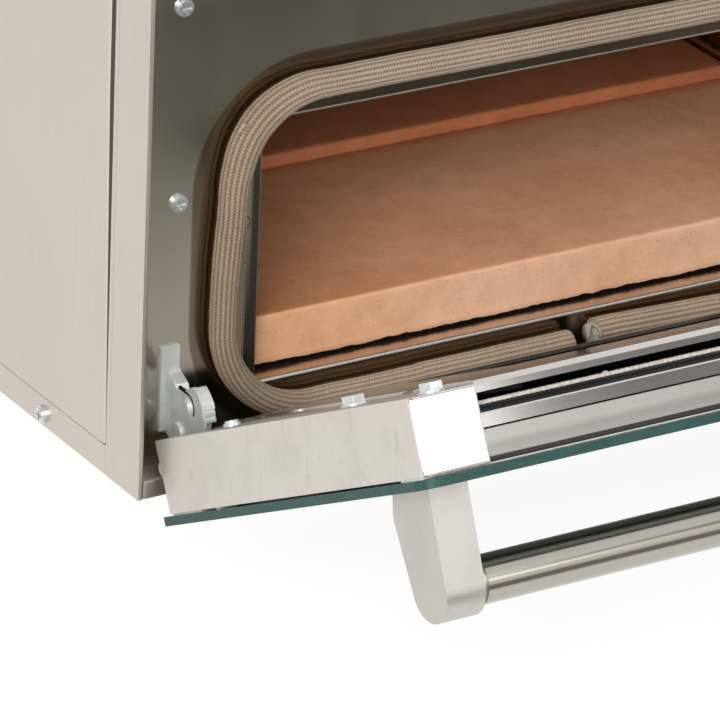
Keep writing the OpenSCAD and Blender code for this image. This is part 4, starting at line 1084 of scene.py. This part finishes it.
# Fibre sheet in the door, in millimetres, with its frayed edge in the slot at the free end
FIBRE_X = (40.9, 436.3)
FIBRE_D = (4.5, 212.0)
FIBRE_N = (7.85, 9.75)
FRAY = 1.7
# Braid along the edge: depth in the door, under the sheet's end, pitch, step, half size, swelling, wave
BRAID_N = 7.8
BRAID_UNDER = 1.1
BRAID_PITCH = 2.3
BRAID_STEP = 0.5
BRAID_SIDES = 10
BRAID_HALF = 0.75
BRAID_SWELL = (0.20, 0.25)
BRAID_WAVE = (0.2, 2.9, 11)
# Tuft on the braid: place, number and radius of its hairs, their reach along and in, and their ends
TUFT_X = 101
HAIRS = 9
HAIR_R = 0.3
HAIR_REACH = (1.9, 1.5)
HAIR_UNDER = (0.6, 0.2)
HAIR_LEAN = (-80, 80)


def build_fibre_sheet():
    """Flat sheet with an opening for the window, near black as painted shade in the door's hollow."""
    outer = rectangle(FIBRE_X, (FIBRE_D[0], FIBRE_D[1] - FRAY))
    inner = rectangle(WINDOW_X, WINDOW_D)
    points = [on_door(x, n, d) for n in FIBRE_N for x, d in outer + inner]
    faces = []
    for i in range(4):
        k = (i + 1) % 4
        faces.append((i, k, 4 + k, 4 + i))
        faces.append((8 + i, 12 + i, 12 + k, 8 + k))
        faces.append((i, 8 + i, 8 + k, k))
        faces.append((4 + i, 4 + k, 12 + k, 12 + i))
    backing = piece("fibre_sheet", (points, faces), hollow_shade, "door", False)
    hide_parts("door_fibre")


def build_fibre_edge():
    """Braid along the sheet's edge, and a tuft on it."""
    rings = []
    count = int((FIBRE_X[1] - FIBRE_X[0]) / BRAID_STEP)
    for x in sweep(*FIBRE_X, count):
        swell = abs(math.sin(math.pi * x / BRAID_PITCH))
        deep = BRAID_HALF + BRAID_SWELL[0] * swell
        reach = BRAID_HALF + BRAID_SWELL[1] * swell + wave(x, BRAID_WAVE)
        ring = []
        for j in range(BRAID_SIDES):
            t = 2 * math.pi * j / BRAID_SIDES
            end = FIBRE_D[1] - BRAID_UNDER + reach * math.cos(t)
            ring.append(on_door(x, BRAID_N + deep * math.sin(t), end))
        rings.append(ring)
    piece("fibre_edge", loft(rings), fleece, "door")
    hairs = []
    for angle in sweep(*HAIR_LEAN, HAIRS - 1):
        lean = math.radians(angle)
        base = on_door(TUFT_X, BRAID_N, FIBRE_D[1] - HAIR_UNDER[0])
        tip_x = TUFT_X + HAIR_REACH[0] * math.sin(lean)
        tip = on_door(tip_x, BRAID_N - HAIR_REACH[1] * math.cos(lean), FIBRE_D[1] - HAIR_UNDER[1])
        hairs.append(thread([base, (base + tip) / 2, tip], HAIR_R * MM, 6))
    piece("fibre_tuft", join(hairs), fleece, "door")


# Polished caps on the ends of the side members, in millimetres
CAP_X = (9.7, 39.3)
CAP_N = (0.7, 30.5)
CAP_D = (215.0, 215.3)
CAP_EDGE = 0.2


def build_caps():
    """A thin cap with a small chamfer on each side."""
    parts = []
    for left, right in both_sides(CAP_X):
        rings = []
        for inset, d in ((0, CAP_D[0]), (0, CAP_D[1] - CAP_EDGE / 2), (CAP_EDGE, CAP_D[1])):
            corners = rectangle((left + inset, right - inset), (CAP_N[0] + inset, CAP_N[1] - inset))
            rings.append([on_door(x, n, d) for x, n in corners])
        parts.append(loft(rings))
    piece("end_caps", join(parts), bright, "door", False)


# Bedding strip under the glass, in millimetres
TAPE_X = (9.6, 467.6)
TAPE_N = (31.2, 32.0)
TAPE_D = (196.0, 212.8)
TAPE_STEPS = 6


def build_tape():
    """Bedding strip between the free end and the glass, with a rounded outer edge."""
    middle = (TAPE_N[0] + TAPE_N[1]) / 2
    half = (TAPE_N[1] - TAPE_N[0]) / 2
    outline = [(TAPE_N[0], TAPE_D[0])]
    for t in sweep(0, math.pi, TAPE_STEPS):
        outline.append((middle - half * math.cos(t), TAPE_D[1] - half + half * math.sin(t)))
    outline.append((TAPE_N[1], TAPE_D[0]))
    rings = [[on_door(x, n, d) for n, d in outline] for x in TAPE_X]
    piece("glass_bed", loft(rings), spacer, "door", False)


# Left side panel with its rolled front edge and a faint crease, in millimetres
ROLL = 3.4
ROLL_STEPS = 6
ROLL_SHARP = math.radians(35)
CREASE_Y = 45
CREASE_HALF = 2
CREASE_DEPTH = 0.12
# The seam in front of the rolled edge opens from its low to its high place
SEAM_Z = (20, 171)
SEAM_Y = (28.6, 31.8)
# Near black strip in the seam, in millimetres: painted shade in the seam's gap
SEAM_SHADE_X = (0.85, 1.15)
SEAM_SHADE_START = 27.0
SEAM_SHADE_OVER = 1.5
# A faint line on the front edge's side: its width, how far it stands out and is let in, its ends
LINE_Y = (25.0, 25.3)
LINE_RAISE = 0.04
LINE_IN = 0.1
LINE_ENDS = (10, 4)


def seam_front(z):
    """Where the side panel's front edge lies at a height."""
    t = (z - SEAM_Z[0]) / (SEAM_Z[1] - SEAM_Z[0])
    return SEAM_Y[0] + (SEAM_Y[1] - SEAM_Y[0]) * min(max(t, 0.0), 1.0)


def side_outline(low, high, front):
    """Outline of the side panel, seen from above."""
    thick = high.x - low.x
    outline = [(low.x, high.y), (low.x, CREASE_Y + CREASE_HALF), (low.x + CREASE_DEPTH, CREASE_Y),
               (low.x, CREASE_Y - CREASE_HALF)]
    for t in sweep(0, math.pi / 2, ROLL_STEPS):
        outline.append((low.x + ROLL * (1 - math.cos(t)), front + ROLL * (1 - math.sin(t))))
    bend = ROLL - thick
    for t in sweep(math.pi / 2, 0, ROLL_STEPS):
        outline.append((low.x + ROLL - bend * math.cos(t), front + ROLL - bend * math.sin(t)))
    outline.append((high.x, high.y))
    return outline


def build_side_lines(low, high, heights):
    """Dark strip in the seam as painted shade, and a faint line on the front edge beside it."""
    rings = []
    for z in heights:
        back = seam_front(z) + SEAM_SHADE_OVER
        corners = rectangle(SEAM_SHADE_X, (SEAM_SHADE_START, back))
        rings.append([on_casing(x, y, z) for x, y in corners])
    piece("seam_shade_strip", loft(rings), seam_dark, "casing", False)
    corners = rectangle((-LINE_RAISE, LINE_IN), LINE_Y)
    ends = (low.z + LINE_ENDS[0], high.z - LINE_ENDS[1])
    rings = [[on_casing(x, y, z) for x, y in corners] for z in ends]
    piece("edge_line", loft(rings), seam_faint, "casing", False)


def build_side_skin():
    """Side panel in place of its CAD node."""
    low, high = casing_box("side_left")
    heights = (low.z, SEAM_Z[0], SEAM_Z[1], high.z)
    rings = [[on_casing(x, y, z) for x, y in side_outline(low, high, seam_front(z))] for z in heights]
    build_side_lines(low, high, heights)
    skin = piece("side_skin", loft(rings), satin, "casing", False)
    for face in skin.data.polygons:
        face.use_smooth = len(face.vertices) == 4
    skin.data.set_sharp_from_angle(angle=ROLL_SHARP)
    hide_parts("side_left")


# Dial marks round the knobs, in millimetres: every third one is wider and longer
DIAL_R = (22.0, 25.5)
DIAL_STEPS = 18
DIAL_SWEEP = 270
LONG_MARK = 3
MARK_HALF = (0.55, 0.3)
MARK_LONGER = 1.5
MARK_RAISE = 0.06
# Pointers on the knobs: half width, start over the middle, tip, short of the rim, and how they are let in
POINTER_W = 0.7
POINTER_START = 0.8
POINTER_TIP = 0.6
POINTER_SHORT = 4.2
POINTER_IN = 0.75
POINTER_RAISE = 0.5


def panel_plate(outline, knob_x, knob_z, front, raise_by):
    """A thin printed mark on a face that looks to the front."""
    depths = (front, front - raise_by)
    return loft([[on_casing(knob_x + x, y, knob_z + z) for x, z in outline] for y in depths])


def build_dial(name, node):
    """Marks on the panel round a knob, and the pointer that turns with it."""
    low, high = casing_box(node)
    knob_x = (low.x + high.x) / 2
    knob_z = (low.z + high.z) / 2
    marks = []
    for i, angle in enumerate(sweep(0, DIAL_SWEEP, DIAL_STEPS)):
        turn = math.radians(angle)
        across = Vector((math.cos(turn), -math.sin(turn)))
        along = Vector((math.sin(turn), math.cos(turn)))
        long = i % LONG_MARK == 0
        wide = MARK_HALF[0] if long else MARK_HALF[1]
        reach = DIAL_R[1] + (MARK_LONGER if long else 0)
        corners = [along * DIAL_R[0] - across * wide, along * DIAL_R[0] + across * wide,
                   along * reach + across * wide, along * reach - across * wide]
        marks.append(panel_plate(corners, knob_x, knob_z, 0.0, MARK_RAISE))
    piece(name + "_scale", join(marks), ink, "casing", False)
    tall = (high.z - low.z) / 2 - POINTER_SHORT
    stripe = [(-POINTER_W, POINTER_START), (POINTER_W, POINTER_START), (POINTER_W, tall),
              (0, tall + POINTER_TIP), (-POINTER_W, tall)]
    pointer = panel_plate(stripe, knob_x, knob_z, low.y + POINTER_IN, POINTER_RAISE)
    body = "knob_upper" if node == "knob_top" else "knob_lower"
    piece(name + "_pointer", pointer, white_ink, body, False)


build_rope()
build_rope_ends()
build_stone("front_stone", "stone_front", 21, terracotta, top_clay_painted_shade)
build_stone("rear_stone", "stone_rear", 37, rear_clay_painted_shade, rear_clay_painted_shade)
build_lip()
build_slots()
build_fibre_sheet()
build_fibre_edge()
build_caps()
build_tape()
build_side_skin()
build_dial("upper_dial", "knob_top")
build_dial("lower_dial", "knob_bottom")

# Stage: floor, world, lamps and camera
WORLD_LIGHT = 0.52
FLOOR_GLOW = 0.90
FLOOR_SHADE = 0.20
FLOOR_PALE = 0.93
FLOOR_HALF = 12.0
FLOOR_UNDER = 0.0002


def seen_by_eye_or_metal(tree):
    """1 for rays from the camera and from polished metal or glass, 0 for others."""
    path = tree.nodes.new("ShaderNodeLightPath").outputs
    seen = calc(tree, "MAXIMUM", path["Is Camera Ray"], path["Is Glossy Ray"])
    return calc(tree, "MAXIMUM", seen, path["Is Transmission Ray"])


def flat_mesh(name, half_width, half_height):
    """A flat rectangle about its middle."""
    mesh = bpy.data.meshes.new(name)
    corners = rectangle((-half_width, half_width), (-half_height, half_height))
    mesh.from_pydata([(x, y, 0) for x, y in corners], [], [(0, 1, 2, 3)])
    return mesh


def build_floor():
    """A pale floor: near white to the eye, with the object's shadow on it, and plain white as light."""
    mesh = flat_mesh("floor", FLOOR_HALF, FLOOR_HALF)
    floor = put("floor", mesh)
    floor.location.z = cad_low.z - FLOOR_UNDER
    made, tree, bsdf = shader("floor")
    pale_grey = (FLOOR_PALE, FLOOR_PALE, FLOOR_PALE, 1)
    fill(tree, bsdf, {"Base Color": pale_grey, "Roughness": 1.0, "Specular IOR Level": 0.0})
    matt = add(tree, "ShaderNodeBsdfDiffuse", {"Color": (FLOOR_SHADE, FLOOR_SHADE, FLOOR_SHADE, 1)})
    glow = add(tree, "ShaderNodeEmission", {"Color": (1, 1, 1, 1), "Strength": FLOOR_GLOW})
    pale = add(tree, "ShaderNodeAddShader", {0: matt.outputs[0], 1: glow.outputs[0]})
    values = {0: seen_by_eye_or_metal(tree), 1: bsdf.outputs[0], 2: pale.outputs[0]}
    mixed = add(tree, "ShaderNodeMixShader", values)
    fill(tree, tree.nodes["Material Output"], {"Surface": mixed.outputs[0]})
    mesh.materials.append(made)


def build_world():
    """White for the eye, for metal and for glass; a plain grey level as light."""
    world = bpy.data.worlds.new("studio")
    bpy.context.scene.world = world
    world.use_nodes = True
    tree = world.node_tree
    level = remap(tree, seen_by_eye_or_metal(tree), (0.0, 1.0), WORLD_LIGHT, 1.0)
    fill(tree, tree.nodes["Background"], {"Color": (1, 1, 1, 1), "Strength": level})


def build_lamp(name, target, direction, distance, size, power):
    """A square lamp that stands off a target and looks at it; sizes in metres."""
    data = bpy.data.lights.new(name, "AREA")
    data.shape = "SQUARE"
    data.size = size
    data.energy = power
    obj = put(name, data)
    obj.location = target + direction.normalized() * distance
    obj.rotation_euler = direction.to_track_quat("Z", "Y").to_euler()


def build_card(name, centre, facing, width, height, grey):
    """A dark card that only polished metal sees; sizes in metres."""
    mesh = flat_mesh(name, width / 2, height / 2)
    card = put(name, mesh)
    card.location = centre
    card.rotation_euler = facing.to_track_quat("Z", "Y").to_euler()
    made, tree, bsdf = shader(name)
    fill(tree, bsdf, {"Base Color": (grey, grey, grey, 1), "Roughness": 1.0})
    mesh.materials.append(made)
    card.visible_camera = False
    card.visible_diffuse = False
    card.visible_shadow = False
    card.visible_transmission = False


def build_camera():
    """Camera that sees the casing's corner at its place in the picture."""
    a = math.radians(VIEW_AZIMUTH)
    e = math.radians(VIEW_ELEVATION)
    r = math.radians(VIEW_ROLL)
    ahead = Vector((math.sin(a) * math.cos(e), math.cos(a) * math.cos(e), -math.sin(e)))
    right = ahead.cross(Vector((0, 0, 1))).normalized()
    down = ahead.cross(right)
    screen_right = right * math.cos(r) - down * math.sin(r)
    screen_down = right * math.sin(r) + down * math.cos(r)
    middle = FRAME_PIXELS / 2
    side = (CORNER_PIXEL[0] - middle) / FOCAL_PIXELS
    drop = (CORNER_PIXEL[1] - middle) / FOCAL_PIXELS
    data = bpy.data.cameras.new("camera")
    data.sensor_width = SENSOR
    data.lens = FOCAL_PIXELS / FRAME_PIXELS * SENSOR
    data.clip_end = 100
    camera = put("camera", data)
    place = CORNER - (screen_right * side + screen_down * drop + ahead) * CORNER_DISTANCE
    turn = Matrix((screen_right, -screen_down, -ahead)).transposed()
    camera.matrix_world = Matrix.Translation(place) @ turn.to_4x4()
    bpy.context.scene.camera = camera


build_floor()
build_world()
build_camera()
# The way from the door's free end to what it mirrors, and the level way across it
END_MIRROR = Vector((0.489, -0.781, 0.388))
END_ACROSS = Vector((0.847, 0.530, 0))
FILL_WAY = Vector((-0.70, -0.66, 0.40))
UP = Vector((0, 0, 1))
build_lamp("key", on_door(-446, 15, 215), END_MIRROR, distance=1.8, size=0.9, power=3.6)
build_lamp("fill", on_casing(238, 25, 90), FILL_WAY, distance=1.7, size=1.0, power=20.0)
build_card("ceiling", Vector((0.15, -0.42, 0.9)), -UP, width=1.8, height=0.18, grey=0.09)
build_card("table", Vector((0.3, -0.9, 0.004)), UP, width=1.6, height=0.9, grey=0.22)
end_card = on_door(110, 15, 213) + END_MIRROR * 2.0 + END_ACROSS * 0.53
build_card("end_card", end_card, -END_MIRROR, width=1.2, height=0.3, grey=0.3)

bpy.context.scene.view_settings.view_transform = "Standard"
